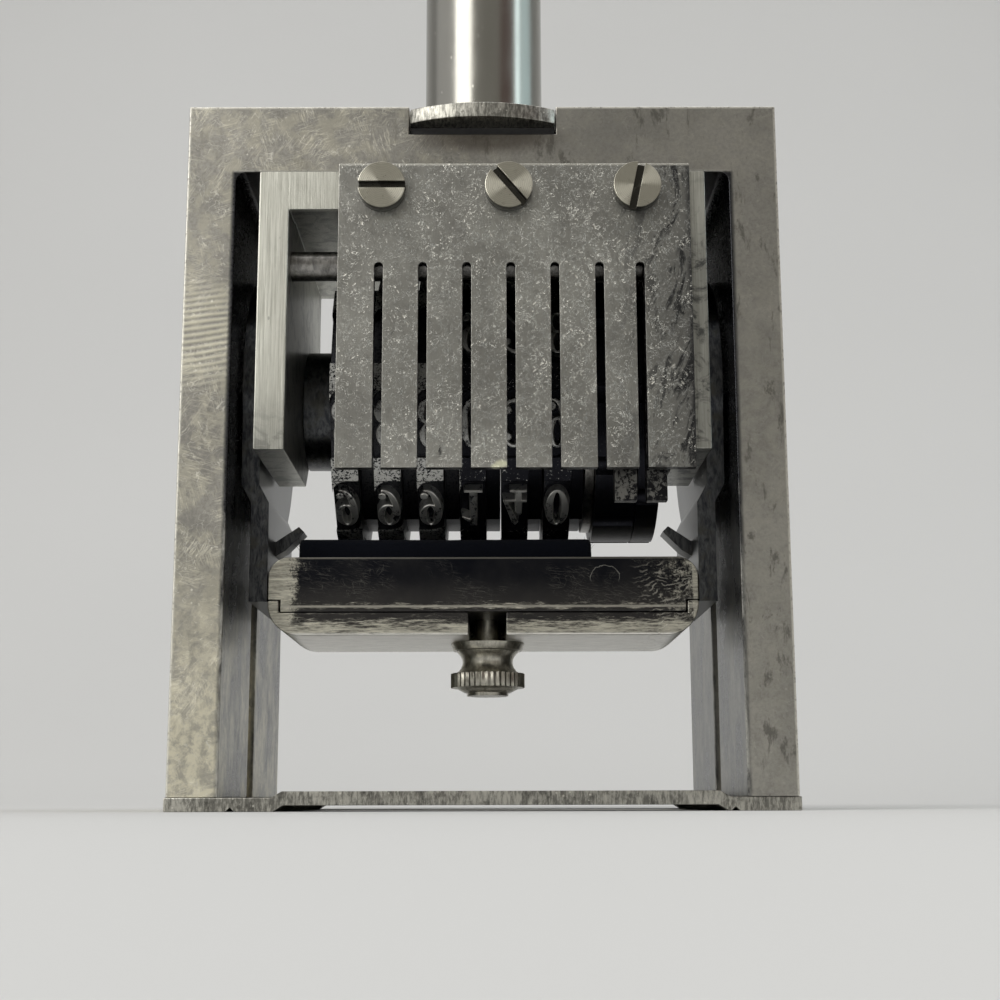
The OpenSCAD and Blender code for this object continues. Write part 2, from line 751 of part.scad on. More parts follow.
module ink_frame() {
    color([0.35, 0.35, 0.36]) difference() {
        along_y(-holder_front, holder_back) ink_frame_outline();
        block([pad_left - pad_clear, pad_right + pad_clear],
              [pad_margin - pad_clear - holder_front, holder_back - pad_margin + pad_clear],
              [pad_floor, ink_frame_top + over]);
        translate([thumb_x, thumb_y, ink_frame_bottom - over])
            cylinder(r = thumb_shank_r + seat_fit, h = ink_floor_t + 2 * over);
        both_sides() for (y = [rivet_front, rivet_back])
            bar_x(rivet_r + seat_fit, holder_half_w - rivet_grip - 0.1, half_w, [y, rivet_z]);
    }
}

// Front outline of the tray: a shallow pan with big round lower corners
module pad_tray_outline() {
    c = tray_corner;
    inner = holder_half_w - tray_wall;
    difference() {
        union() {
            translate([c - holder_half_w, tray_bottom]) square([2 * (holder_half_w - c), ledge_z - tray_bottom]);
            translate([-holder_half_w, tray_bottom + c]) square([2 * holder_half_w, ledge_z - tray_bottom - c]);
            for (side = [-1, 1]) translate([side * (holder_half_w - c), tray_bottom + c]) circle(r = c);
        }
        translate([-inner, tray_top]) square([2 * inner, ledge_z]);
        translate([-half_w, ledge_z]) square([frame_w, c]);
    }
}

module pad_tray() {
    color("darkgray") difference() {
        along_y(-holder_front, holder_back) pad_tray_outline();
        block([thumb_x - thumb_slot_w / 2, thumb_x + thumb_slot_w / 2],
              [-holder_front - over, thumb_y], [tray_bottom - over, tray_top + over]);
        translate([thumb_x, thumb_y, tray_bottom - over])
            cylinder(r = thumb_slot_w / 2, h = tray_floor_t + 2 * over);
    }
}

module ink_pad() {
    color([0.05, 0.05, 0.07])
        block([pad_left, pad_right], [pad_margin - holder_front, holder_back - pad_margin],
              [pad_floor + 0.02, pad_top]);
}

module arm_rivets() {
    rivet_in = holder_half_w - rivet_grip;
    rivet_out = holder_half_w + 0.05 + arm_t;
    color("gray") both_sides() for (y = [rivet_front, rivet_back]) {
        bar_x(rivet_r, rivet_in, rivet_out + 0.1, [y, rivet_z]);
        bar_x(rivet_head_r, rivet_out, rivet_out + rivet_head_t, [y, rivet_z]);
    }
}

module cup_washer() {
    color("silver") translate([thumb_x, thumb_y, tray_bottom - cup_t]) difference() {
        cylinder(r1 = cup_r - 0.25, r2 = cup_r, h = cup_t);
        translate([0, 0, -over]) cylinder(r = thumb_shank_r + 0.1, h = cup_t + 2 * over);
    }
}

// Waisted thumb screw with a knurled rim and a domed end
module thumb_screw() {
    shoulder_z = tray_bottom - cup_t - 0.02;
    head_z = shoulder_z - thumb_neck_h;
    waist = [for (i = [0:8]) [thumb_neck_r + thumb_flare * pow(abs(i / 4 - 1), 2), head_z + thumb_neck_h * i / 8]];
    color("silver") translate([thumb_x, thumb_y, 0]) union() {
        translate([0, 0, head_z - 0.1]) cylinder(r = thumb_shank_r, h = thumb_neck_h + cup_t
            + tray_floor_t + thumb_thread_len);
        rotate_extrude() polygon(concat([[0, head_z]], waist, [[0, shoulder_z]]));
        translate([0, 0, head_z - thumb_head_t]) linear_extrude(thumb_head_t) polygon(
            [for (i = [0:2 * thumb_teeth - 1])
                polar(thumb_head_r - thumb_tooth_d * (i % 2), 180 * i / thumb_teeth)]);
        translate([0, 0, head_z - thumb_head_t - 0.45]) cylinder(r1 = thumb_dome_r, r2 = thumb_head_r - 0.35, h = 0.5);
        translate([0, 0, head_z - thumb_head_t - 0.75]) cylinder(r = thumb_dome_r - 0.2, h = 0.4);
    }
}

// A feed arm: a hub on the axle, a boss on the feed rod and a tapered web between them
module feed_arm(x, web_t, hub_len) {
    across = polar(1, feed_start);
    hub_half = 3.2;
    rod_half = 1.75;
    difference() {
        union() {
            bar_x(feed_hub_r, x, x + hub_len, [0, axle_z]);
            bar_x(rod_half + 0.15, x, x + web_t, feed_pivot);
            along_x(x, x + web_t) polygon([[0, axle_z] + hub_half * across, feed_pivot + rod_half * across,
                                           feed_pivot - rod_half * across, [0, axle_z] - hub_half * across]);
        }
        bar_x(axle_r + running_fit, x - over, x + hub_len + over, [0, axle_z]);
        bar_x(feed_rod_r + seat_fit, x - over, x + web_t + over, feed_pivot);
    }
}

module feed_arm_left() {
    color("darkgray") feed_arm(0.1 - cheek_x, feed_left_arm_t, cheek_x + wheels_left - 0.2);
}

module feed_arm_right() {
    color("darkgray") feed_arm(stack_right + end_play, feed_arm_t, cheek_x - stack_right - 0.15);
}

module feed_rod() {
    color("gray") bar_x(feed_rod_r, 0.1 - cheek_x, stack_right + end_play + feed_arm_t, feed_pivot);
}

// One finger of the feed pawl, from the sleeve on the feed rod to a nose at the ratchet
module feed_finger_outline() {
    along = (feed_nose - feed_pivot) / norm(feed_nose - feed_pivot);
    across = [-along[1], along[0]];
    polygon([feed_pivot + 1.3 * across, feed_nose + 0.45 * across,
             feed_nose + 0.5 * along, feed_nose - 0.45 * across, feed_pivot - 1.3 * across]);
}

module feed_pawl() {
    sleeve_left = ratchet_gap_x(0);
    sleeve_right = ratchet_gap_x(wheel_count - 1) + pawl_t;
    color("gray") difference() {
        union() {
            bar_x(feed_sleeve_r, sleeve_left, sleeve_right, feed_pivot);
            for (k = [0:wheel_count - 1])
                along_x(ratchet_gap_x(k), ratchet_gap_x(k) + pawl_t) feed_finger_outline();
        }
        bar_x(feed_rod_r + running_fit, sleeve_left - over, sleeve_right + over, feed_pivot);
    }
}

base_plate();
frame();
base_screws();
tube_flange();
buffer_washer();
guide_tube();
return_spring();
carriage();
comb_plate();
comb_screws();
wheel_axle();
pawl_rod();
drum_spacer();
plunger_rod();
spring_collar();
handle_ferrule();
handle_grip();
ink_arm_left();
ink_arm_right();
cam_pins();
ink_frame();
pad_tray();
ink_pad();
arm_rivets();
cup_washer();
thumb_screw();
feed_arm_left();
feed_arm_right();
feed_rod();
feed_pawl();
number_wheel(0);  // number_wheel_1
number_wheel(1);  // number_wheel_2
number_wheel(2);  // number_wheel_3
number_wheel(3);  // number_wheel_4
number_wheel(4);  // number_wheel_5
number_wheel(5);  // number_wheel_6
repeat_drum();
selector_disc();
detent_pawl(0);  // detent_pawl_1
detent_pawl(1);  // detent_pawl_2
detent_pawl(2);  // detent_pawl_3
detent_pawl(3);  // detent_pawl_4
detent_pawl(4);  // detent_pawl_5
detent_pawl(5);  // detent_pawl_6
detent_pawl(6);  // detent_pawl_7
detent_pawl(7);  // detent_pawl_8
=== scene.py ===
# %% [markdown]
# # A hand numbering machine
# This script dresses a ready-made mechanical model of a numbering machine: an arched steel frame on
# a thin window plate, a carriage with six figure wheels behind a slotted comb plate, an ink pad in
# its holder, and a chromed tube with a black turned grip. The model's solids already have their
# real sizes and places. What is added here is the finish of each surface and the small forms that
# catch the eye: rounded edges, raised figures, the round-ended pockets of the wheels and the felt.
# Every size is in millimetres times MM, and the figures, pockets and felt are placed from the model's own
# parts.

import json
import math
import random

import bpy
import bmesh
from mathutils import Matrix, Vector, noise
from mathutils.geometry import delaunay_2d_cdt


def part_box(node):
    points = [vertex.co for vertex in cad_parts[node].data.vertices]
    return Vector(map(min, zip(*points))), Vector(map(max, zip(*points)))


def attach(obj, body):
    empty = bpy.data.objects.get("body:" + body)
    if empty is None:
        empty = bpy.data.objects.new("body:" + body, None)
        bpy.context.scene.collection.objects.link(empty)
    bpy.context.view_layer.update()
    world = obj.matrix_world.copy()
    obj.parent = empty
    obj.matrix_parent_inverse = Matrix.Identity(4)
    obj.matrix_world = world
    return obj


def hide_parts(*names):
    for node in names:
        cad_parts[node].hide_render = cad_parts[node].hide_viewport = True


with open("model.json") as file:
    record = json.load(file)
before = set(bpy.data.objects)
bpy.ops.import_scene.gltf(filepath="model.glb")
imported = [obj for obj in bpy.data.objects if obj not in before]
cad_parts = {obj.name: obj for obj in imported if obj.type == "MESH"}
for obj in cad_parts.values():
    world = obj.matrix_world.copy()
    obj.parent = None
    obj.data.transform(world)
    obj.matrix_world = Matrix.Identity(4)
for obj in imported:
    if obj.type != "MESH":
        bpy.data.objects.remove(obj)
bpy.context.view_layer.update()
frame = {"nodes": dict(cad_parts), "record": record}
nodes = frame["nodes"]
MM = 0.001

# %% [markdown]
# ## The camera
# The picture was taken from close by, a little to the right of the middle and almost at table
# height, looking slightly up. A short distance makes the legs spread towards the bottom. The lens
# and the tilt come from the spread of the legs' edges, which are parallel on the real frame.

# %% The camera
CAMERA_PLACE = Vector((0.957, -148.8, 0.98)) * MM
CAMERA_TILT = 10.715
CAMERA_PAN = -0.222
CAMERA_ROLL = -0.152
CAMERA_LENS = 56.9

lens = bpy.data.cameras.new("camera")
lens.lens = CAMERA_LENS
lens.clip_start = 2 * MM
camera = bpy.data.objects.new("camera", lens)
camera.matrix_world = (Matrix.Translation(CAMERA_PLACE) @ Matrix.Rotation(math.radians(CAMERA_PAN), 4, "Z")
                       @ Matrix.Rotation(math.radians(90 + CAMERA_TILT), 4, "X")
                       @ Matrix.Rotation(math.radians(CAMERA_ROLL), 4, "Z"))
bpy.context.scene.collection.objects.link(camera)
bpy.context.scene.camera = camera

# %% [markdown]
# ## The stage
# Polished steel shows its surroundings, so the surroundings are half of its finish. The floor runs
# up into the back wall in one curve, so that no line crosses the picture behind the legs. The
# world is the same pale grey, for the camera and for what the metal mirrors, and dimmer for the
# light that it gives. Broad soft lamps stand in for a window on the left and a ceiling.

# %% The floor and the back wall
PALE = (0.62, 0.615, 0.605, 1)
FLOOR_HALF = 2.5
WALL_Y = 0.75
WALL_TOP = 2.4
SWEEP = 0.6
SWEEP_STEPS = 24


def sweep_profile():
    """Points (y, z) along the floor, round the curve and up the wall."""
    points = [(-FLOOR_HALF, 0), (WALL_Y - SWEEP, 0)]
    for i in range(1, SWEEP_STEPS + 1):
        turn = math.pi / 2 * i / SWEEP_STEPS
        points.append((WALL_Y - SWEEP + SWEEP * math.sin(turn), SWEEP - SWEEP * math.cos(turn)))
    return points + [(WALL_Y, WALL_TOP)]


def add_piece(name, mesh, body=None):
    """Puts a mesh in the scene; a body makes it ride on the model."""
    piece = bpy.data.objects.new(name, mesh)
    bpy.context.scene.collection.objects.link(piece)
    if body:
        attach(piece, body)
    return piece


def sheet_mesh(name, profile, half):
    """A sheet of the given width along X, through the profile's points."""
    verts = [(x, y, z) for y, z in profile for x in (-half, half)]
    faces = [(2 * i, 2 * i + 1, 2 * i + 3, 2 * i + 2) for i in range(len(profile) - 1)]
    mesh = bpy.data.meshes.new(name)
    mesh.from_pydata(verts, [], faces)
    for face in mesh.polygons:
        face.use_smooth = True
    return mesh


backdrop = add_piece("backdrop", sheet_mesh("backdrop", sweep_profile(), FLOOR_HALF))

# %% [markdown]
# ## Working with shader nodes
# A finish is a sum of simple patterns. Written as Python sums, it stays readable: a Wire holds one
# value inside a material, and + - * / on it add the Math nodes. Everything else, such as a noise
# or a colour mix, comes from one method that takes the node's kind, its settings and its inputs.


# %% A value in a material
class Wire:
    """One value in a material. Sums with it add Math nodes."""

    def __init__(self, socket):
        self.socket = socket

    def node(self, kind, settings=None, out=0, **values):
        """Adds a node of any kind: settings first, then a number or a wire for each input."""
        made = self.socket.id_data.nodes.new("ShaderNode" + kind)
        for name, value in (settings or {}).items():
            setattr(made, name, value)
        for name, value in values.items():
            fits = [s for s in made.inputs if name in (s.identifier, s.name.replace(" ", "_"))]
            if isinstance(value, Wire):
                self.socket.id_data.links.new(value.socket, fits[0])
            else:
                fits[0].default_value = value
        return Wire(made.outputs[out])

    def math(self, operation, first, second=0.0):
        """One Math node on a first and a second value."""
        return self.node("Math", {"operation": operation}, Value=first, Value_001=second)

    def root(self):
        """The square root."""
        return self.math("SQRT", self)

    def __add__(self, other):
        return self.math("ADD", self, other)

    def __sub__(self, other):
        return self.math("SUBTRACT", self, other)

    def __rsub__(self, other):
        return self.math("SUBTRACT", other, self)

    def __mul__(self, other):
        return self.math("MULTIPLY", self, other)

    def __truediv__(self, other):
        return self.math("DIVIDE", self, other)

    def __abs__(self):
        return self.math("ABSOLUTE", self)

    def __or__(self, other):
        return self.math("MAXIMUM", self, other)

    def __and__(self, other):
        return self.math("MINIMUM", self, other)

    __radd__ = __add__
    __rmul__ = __mul__

    def between(self, low, high):
        """0 below low, 1 above high, and a soft step between them; the other way if low is higher."""
        return self.node("MapRange", {"interpolation_type": "SMOOTHSTEP"}, Value=self,
                         From_Min=low, From_Max=high)

    def moved(self, step):
        """The same place moved by a step in metres, so that a pattern looks different there."""
        return self.node("VectorMath", {"operation": "ADD"}, Vector=self, Vector_001=step)

    def stretched(self, factors):
        """The same place with each axis multiplied, so a pattern on it is drawn out."""
        return self.node("VectorMath", {"operation": "MULTIPLY"}, Vector=self, Vector_001=factors)

    def turned(self, angles):
        """The same place turned by angles in degrees."""
        return self.node("VectorRotate", {"rotation_type": "EULER_XYZ"}, Vector=self,
                         Rotation=[math.radians(a) for a in angles])

    def cloud(self, size, detail=4.0, rough=0.55, bend=0.0):
        """A soft random pattern whose spots are about size metres across, from 0 to 1."""
        return self.node("TexNoise", None, Vector=self, Scale=1 / size, Detail=detail, Roughness=rough,
                         Distortion=bend)

    def axis(self, name):
        """One coordinate of a place."""
        return self.node("SeparateXYZ", None, "XYZ".index(name), Vector=self)


def blend(share, first, second):
    """The first colour where share is 0 and the second where it is 1."""
    return share.node("Mix", {"data_type": "RGBA"}, 2, Factor_Float=share, A_Color=first, B_Color=second)


def new_finish(name, **constants):
    """A material with one shader, and the place on the surface that its patterns start from."""
    material = bpy.data.materials.new(name)
    material.use_nodes = True
    shader = material.node_tree.nodes["Principled BSDF"]
    for socket, value in constants.items():
        shader.inputs[socket.replace("_", " ")].default_value = value
    place = Wire(material.node_tree.nodes.new("ShaderNodeTexCoord").outputs["Object"])
    return material, shader, place


def feed(shader, **wires):
    """Links wires to the shader's inputs."""
    for name, wire in wires.items():
        wire.socket.id_data.links.new(wire.socket, shader.inputs[name.replace("_", " ")])


def bump(height, depth, strength=1.0):
    """A bump of the given depth in metres from a height between 0 and 1."""
    return height.node("Bump", None, Height=height, Distance=depth, Strength=strength)


# %% [markdown]
# ## The floor's paint and the lamps
# The floor and wall are matt and pale. The world shows the same grey to the camera and in
# reflections. The big lamp on the left gives the left leg its light tone, and leaves the right one
# darker. None of the lamps can be seen itself, but the metal mirrors them.

# %% Paint the stage and light it
WORLD_LIGHT = 0.5


def pale_paint():
    """Matt paint of the floor and the wall, with a faint change of tone."""
    material, shader, place = new_finish("pale_paint", Roughness=0.9)
    tone = place.cloud(0.4, 2).between(0.2, 0.8)
    feed(shader, Base_Color=blend(tone, (0.635, 0.63, 0.615, 1), (0.675, 0.67, 0.655, 1)))
    return material


backdrop.data.materials.append(pale_paint())


def light_world():
    """A pale room: plain light, and darker and coloured patches that only gloss mirrors."""
    world = bpy.data.worlds.new("pale_room")
    world.use_nodes = True
    tree = world.node_tree
    rays = Wire(tree.nodes.new("ShaderNodeLightPath").outputs["Is Camera Ray"])
    mirrored = Wire(rays.socket.node.outputs["Is Glossy Ray"])
    passed = Wire(rays.socket.node.outputs["Is Transmission Ray"])
    way = Wire(tree.nodes.new("ShaderNodeTexCoord").outputs["Generated"])
    ahead, aside = way.axis("Y"), way.axis("X")
    room = blend(ahead.between(-0.35, -0.85), PALE, (0.30, 0.29, 0.265, 1))
    shade = aside.between(0.42, 0.56) * aside.between(0.86, 0.74) * ahead.between(0.0, -0.2)
    room = blend(shade * 0.85, room, (0.12, 0.065, 0.055, 1))
    bright = aside.between(0.80, 0.90) * ahead.between(-0.35, -0.1)
    room = blend(bright, room, (0.90, 1.15, 1.22, 1))
    colour = blend(mirrored, blend(rays | passed, (WORLD_LIGHT,) * 3 + (1,), PALE), room)
    tree.links.new(colour.socket, tree.nodes["Background"].inputs["Color"])
    bpy.context.scene.world = world


def add_lamp(name, place, target, size, power, colour=(1, 1, 1)):
    """A flat soft lamp that looks at a point. It lights and is mirrored, but isn't seen."""
    lamp = bpy.data.lights.new(name, "AREA")
    lamp.shape = "RECTANGLE"
    lamp.size, lamp.size_y = size
    lamp.energy = power
    lamp.color = colour
    piece = bpy.data.objects.new(name, lamp)
    piece.location = place
    piece.rotation_euler = (Vector(target) - Vector(place)).to_track_quat("-Z", "Y").to_euler()
    piece.visible_camera = False
    bpy.context.scene.collection.objects.link(piece)


light_world()
MIDDLE = (0, 0, 0.035)
add_lamp("window", (-0.55, -0.65, 0.45), MIDDLE, (0.5, 0.6), 3.2, (1.0, 0.99, 0.96))
add_lamp("ceiling", (0.05, -0.1, 0.9), MIDDLE, (0.9, 0.6), 3.2)
add_lamp("far_side", (0.7, -0.25, 0.3), MIDDLE, (0.12, 0.6), 0.6, (0.75, 0.93, 1.0))
print("Stage and lamps are in place")

# %% [markdown]
# ## Rounded edges
# No real edge is sharp. A narrow bevel catches the light as a thin bright line, and it makes the
# parts read as metal. The model's meshes stay as they are: the modifiers first merge the corners
# that were split for the model's export, join flat triangles into whole faces, and then bevel what
# is still an edge. A last step sets smooth shading by angle.

# %% Round the edges of the model's nodes
EDGE_ANGLE = math.radians(33)


def smooth_by_angle():
    """A node group that shades faces smooth and keeps the edges that are still sharp."""
    group = bpy.data.node_groups.new("smooth_by_angle", "GeometryNodeTree")
    group.interface.new_socket("Geometry", in_out="INPUT", socket_type="NodeSocketGeometry")
    group.interface.new_socket("Geometry", in_out="OUTPUT", socket_type="NodeSocketGeometry")
    start = group.nodes.new("NodeGroupInput")
    forget = group.nodes.new("GeometryNodeRemoveAttribute")
    forget.inputs["Name"].default_value = "custom_normal"
    faces = group.nodes.new("GeometryNodeSetShadeSmooth")
    edges = group.nodes.new("GeometryNodeSetShadeSmooth")
    edges.domain = "EDGE"
    angle = group.nodes.new("GeometryNodeInputMeshEdgeAngle")
    limit = group.nodes.new("FunctionNodeCompare")
    limit.operation = "LESS_THAN"
    limit.inputs["B"].default_value = math.radians(40)
    end = group.nodes.new("NodeGroupOutput")
    for source, target in ((start.outputs[0], forget.inputs["Geometry"]),
                           (forget.outputs["Geometry"], faces.inputs["Geometry"]),
                           (faces.outputs["Geometry"], edges.inputs["Geometry"]),
                           (angle.outputs["Unsigned Angle"], limit.inputs["A"]),
                           (limit.outputs["Result"], edges.inputs["Shade Smooth"]),
                           (edges.outputs["Geometry"], end.inputs[0])):
        group.links.new(source, target)
    return group


SMOOTH = smooth_by_angle()


def soften(piece, width):
    """Merges, joins flat faces, bevels the sharp edges by width and shades the rest smooth."""
    weld = piece.modifiers.new("weld", "WELD")
    weld.merge_threshold = 0.002 * MM
    flat = piece.modifiers.new("flat_faces", "DECIMATE")
    flat.decimate_type = "DISSOLVE"
    flat.angle_limit = math.radians(0.6)
    bevel = piece.modifiers.new("edges", "BEVEL")
    bevel.width = width
    bevel.segments = 2
    bevel.limit_method = "ANGLE"
    bevel.angle_limit = EDGE_ANGLE
    bevel.use_clamp_overlap = False
    piece.modifiers.new("shading", "NODES").node_group = SMOOTH
    weigh = piece.modifiers.new("normals", "WEIGHTED_NORMAL")
    weigh.keep_sharp = True


FINE_EDGE = 0.04 * MM
EDGE_WIDTHS = {"frame": 0.12 * MM, "base_plate": 0.1 * MM, "tube_flange": 0.12 * MM, "carriage": 0.12 * MM,
               "comb_plate": 0.06 * MM, "ink_frame": 0.15 * MM, "pad_tray": 0.15 * MM,
               "guide_tube": 0.1 * MM, "handle_ferrule": 0.15 * MM, "plunger_rod": 0.1 * MM}
for name, node in nodes.items():
    if name != "return_spring":
        soften(node, EDGE_WIDTHS.get(name, FINE_EDGE))
print("Edges rounded on", len(nodes) - 1, "nodes")


# %% [markdown]
# ## Marks on metal
# Old nickelled steel is never one grey. It has broad tones left by handling, strokes left by emery
# cloth in many directions, bright nicks, and ink that crept into corners. Each mark here is one
# small function from a place on the surface to a share between 0 and 1, so that a finish can weigh
# and mix them. A mark at its real size, a tenth of a millimetre wide, is what makes metal look small.


# %% Marks that the finishes share
def strokes(place, angle, width=0.13 * MM, slim=0.1, share=0.5):
    """Fine strokes side by side, drawn out along Z and then turned about Y."""
    hatch = place.turned((0, angle, 0)).stretched((1, 1, slim)).cloud(width, 3, 0.6, 0.5)
    return hatch.between(0.62 - 0.2 * share, 0.74 - 0.2 * share)


def nicks(place, cell, share, size=0.18, angle=0, slim=1.0):
    """Small bright dents and short scratches: a few cells of a grid of random points hold one."""
    bent = place.turned((0, angle, 0)).stretched((1, 1, slim))
    cells = bent.node("TexVoronoi", {"feature": "F1"}, 0, Vector=bent, Scale=1 / cell)
    pick = Wire(cells.socket.node.outputs["Color"])
    chosen = pick.node("SeparateColor", None, 0, Color=pick).between(1 - share, 1 - share + 0.01)
    return cells.between(size, size * 0.5) * chosen


def within(value, low, high, soft):
    """1 where a value lies from low to high, fading over soft on both sides."""
    return value.between(low - soft, low + soft) * value.between(high + soft, high - soft)


def spot(place, centre, radii):
    """1 in the middle of an ellipsoid, fading to 0 at its surface."""
    away = place.moved([-c * MM for c in centre]).stretched([1 / (r * MM) for r in radii])
    return away.node("VectorMath", {"operation": "LENGTH"}, 1, Vector=away).between(1, 0.35)


def curls(place, size, seed=0.0):
    """Thin curly scratches: the line where a noise passes through one value."""
    return within(place.moved((seed, seed, seed)).cloud(size, 2, 0.6, 0.8), 0.56, 0.57, 0.006)


NICK = (0.86, 0.84, 0.76, 1)
BLUE_INK = (0.012, 0.014, 0.022, 1)

# %% [markdown]
# ## The frame's nickel
# The legs were rubbed by hand: the left one has warm fans of strokes, and halfway up a chattering
# wheel left a patch of ripples. The left half is also painted lighter and warmer, as painted light
# from the lamp on that side: painted warm highlights and a painted bright, mottled foot. The right
# half is quieter and stained, and its heavier stains also paint it darker as painted shade. Under the
# flange, a dark patch is a painted reflection of the flange's underside. The outer edges are worn to
# bright lines. Inside the arch, ink was wiped into the grooves, and is thickest where the arms rub.


# %% Frame, flange and base plate
def hand_rubbed(place):
    """Fans of strokes in four directions, each in its own patches."""
    fans = None
    for i, angle in enumerate((18, -34, 74, -72)):
        moved = place.moved((0.02 * i, 0.05, 0.03 * i))
        patch = moved.cloud(3.6 * MM, 3, 0.6, 0.4).between(0.48, 0.66)
        fan = strokes(moved, angle, 0.09 * MM, 0.08, 0.55) * patch
        fans = fan if fans is None else fans | fan
    return fans


def ripples(place):
    """The chatter marks on the left leg: nearly level, half a millimetre apart."""
    bent = place.turned((0, 8, 0))
    waves = bent.node("TexWave", {"wave_type": "BANDS", "bands_direction": "Z"}, 1, Vector=bent,
                      Scale=0.314 / (0.52 * MM), Distortion=7.0, Detail=2.0, Detail_Scale=0.16)
    return waves * spot(place, (-24.2, -19, 40.5), (5.5, 6, 7))


def frame_nickel(name, light, dark):
    """Old nickel on the arch: rubbed and painted lighter on the left, stained and painted darker on the
    right, inky inside.
    """
    material, shader, place = new_finish(name, Metallic=1.0)
    broad = place.cloud(8 * MM, 3, 0.6, 0.3)
    fine = place.cloud(0.3 * MM, 3, 0.7)
    # left is 1 on the left half; the light colours weighted by it are partly painted light from the lamp on
    # that side
    left = place.axis("X").between(6 * MM, -14 * MM)
    fans = hand_rubbed(place) * (0.06 + 0.40 * left)
    waves = ripples(place)
    dents = nicks(place, 0.9 * MM, 0.12, 0.14) | nicks(place, 0.7 * MM, 0.06, 0.12, 35, 0.3)
    colour = blend(broad.between(0.35, 0.65), dark, light)
    colour = blend(fine.between(0.35, 0.7) * 0.4, colour, [c * 0.6 for c in dark[:3]] + [1])
    # painted warm highlights, mostly on the left half
    colour = blend(place.cloud(1.6 * MM, 4, 0.65).between(0.46, 0.62) * (0.12 + 0.45 * left), colour,
                   (0.52, 0.495, 0.41, 1))
    # painted light: the foot of the left leg is painted bright, broken up by mottling
    base = place.axis("Z").between(26 * MM, 4 * MM)
    mottled = place.cloud(1.2 * MM, 4, 0.7, 0.4).between(0.36, 0.60)
    colour = blend(base * left * (0.25 + 0.7 * mottled), colour, (0.80, 0.755, 0.60, 1))
    colour = blend(place.axis("Z").between(52 * MM, 36 * MM) * (1 - left) * (0.05 + 0.2 * mottled), colour,
                   (0.60, 0.585, 0.52, 1))
    colour = blend(fans | waves * 0.75, colour, (0.78, 0.745, 0.60, 1))
    colour = blend(dents * (0.15 + 0.55 * left), colour, NICK)
    stains = place.stretched((1, 1, 0.35)).cloud(1.3 * MM, 5, 0.7, 0.4).between(0.56, 0.66)
    front = place.axis("Y").between(-16.9 * MM, -17.1 * MM)
    # stains, weighted to the right half, which also paints that half darker as painted shade
    colour = blend(stains * (0.70 - 0.52 * left) * (0.2 + 0.8 * front), colour, (0.13, 0.125, 0.11, 1))
    colour = blend(curls(place, 1.4 * MM) * (0.15 + 0.4 * left), colour, NICK)
    # painted reflection: a dark patch under the flange, where the polished face mirrors the flange's dark
    # underside
    colour = blend(spot(place, (0.5, -17.2, 58.6), (8.5, 3, 2.0)) * 0.75, colour, (0.10, 0.085, 0.07, 1))
    x, z = abs(place.axis("X")), place.axis("Z")
    rubbed_edge = (x.between(25.72 * MM, 25.9 * MM) | z.between(61.2 * MM, 61.38 * MM)
                   | x.between(22.0 * MM, 21.8 * MM) * z.between(55.6 * MM, 55.4 * MM))
    rubbed_edge = rubbed_edge * place.axis("Y").between(-16.9 * MM, -17.05 * MM) * fine.between(0.3, 0.5)
    colour = blend(rubbed_edge * 0.8, colour, NICK)
    inner = abs(place.axis("X")).between(22.2 * MM, 21.8 * MM) * place.axis("Z").between(55.6 * MM, 55.2 * MM)
    film = place.stretched((1, 0.5, 0.3)).cloud(2.2 * MM, 5, 0.7, 0.4)
    thick = place.axis("Z").between(18 * MM, 34 * MM)
    film = (film + 0.22 * thick).between(0.40, 0.62) * inner
    colour = blend(inner * 0.45, colour, (0.14, 0.148, 0.16, 1))
    colour = blend(film * 0.9, colour, BLUE_INK)
    rough = 0.30 + 0.14 * fine + 0.08 * fans - 0.1 * film
    height = 0.35 * fine + 0.45 * fans + 0.7 * waves + 0.4 * broad
    feed(shader, Base_Color=colour, Roughness=rough, Normal=bump(height, 0.02 * MM, 0.8))
    return material


def plate_steel():
    """Filed edges of the plate and the flange, streaked from top to bottom."""
    material, shader, place = new_finish("plate_steel", Metallic=1.0)
    across = place.stretched((1, 0.25, 0.25)).cloud(0.22 * MM, 3, 0.7)
    broad = place.cloud(5 * MM, 3, 0.6)
    spots = nicks(place, 0.55 * MM, 0.25, 0.2)
    dark = place.cloud(0.9 * MM, 5, 0.7).between(0.52, 0.66)
    tone = (across * 0.7 + broad * 0.3).between(0.38, 0.62)
    colour = blend(tone, (0.20, 0.195, 0.175, 1), (0.56, 0.545, 0.49, 1))
    colour = blend(dark * 0.55, colour, (0.07, 0.068, 0.06, 1))
    colour = blend(spots * 0.6, colour, NICK)
    feed(shader, Base_Color=colour, Roughness=0.26 + 0.2 * across, Normal=bump(across, 0.03 * MM, 0.9))
    return material


FINISHES = {
    "frame_steel": frame_nickel("frame_steel", (0.42, 0.405, 0.37, 1), (0.32, 0.31, 0.285, 1)),
    "plate_steel": plate_steel(),
}

# %% [markdown]
# ## Brushed plates
# The carriage was rubbed up and down on fine paper: its grain is drawn out along Z, and is bright
# and slightly green. The comb plate in front of it is smoother and darker, with crowds of tiny
# white nicks, pale curls, and ink that was wiped over its right end. A curl is the thin line
# where a noise passes through one value, which looks just like a scratch that wanders.


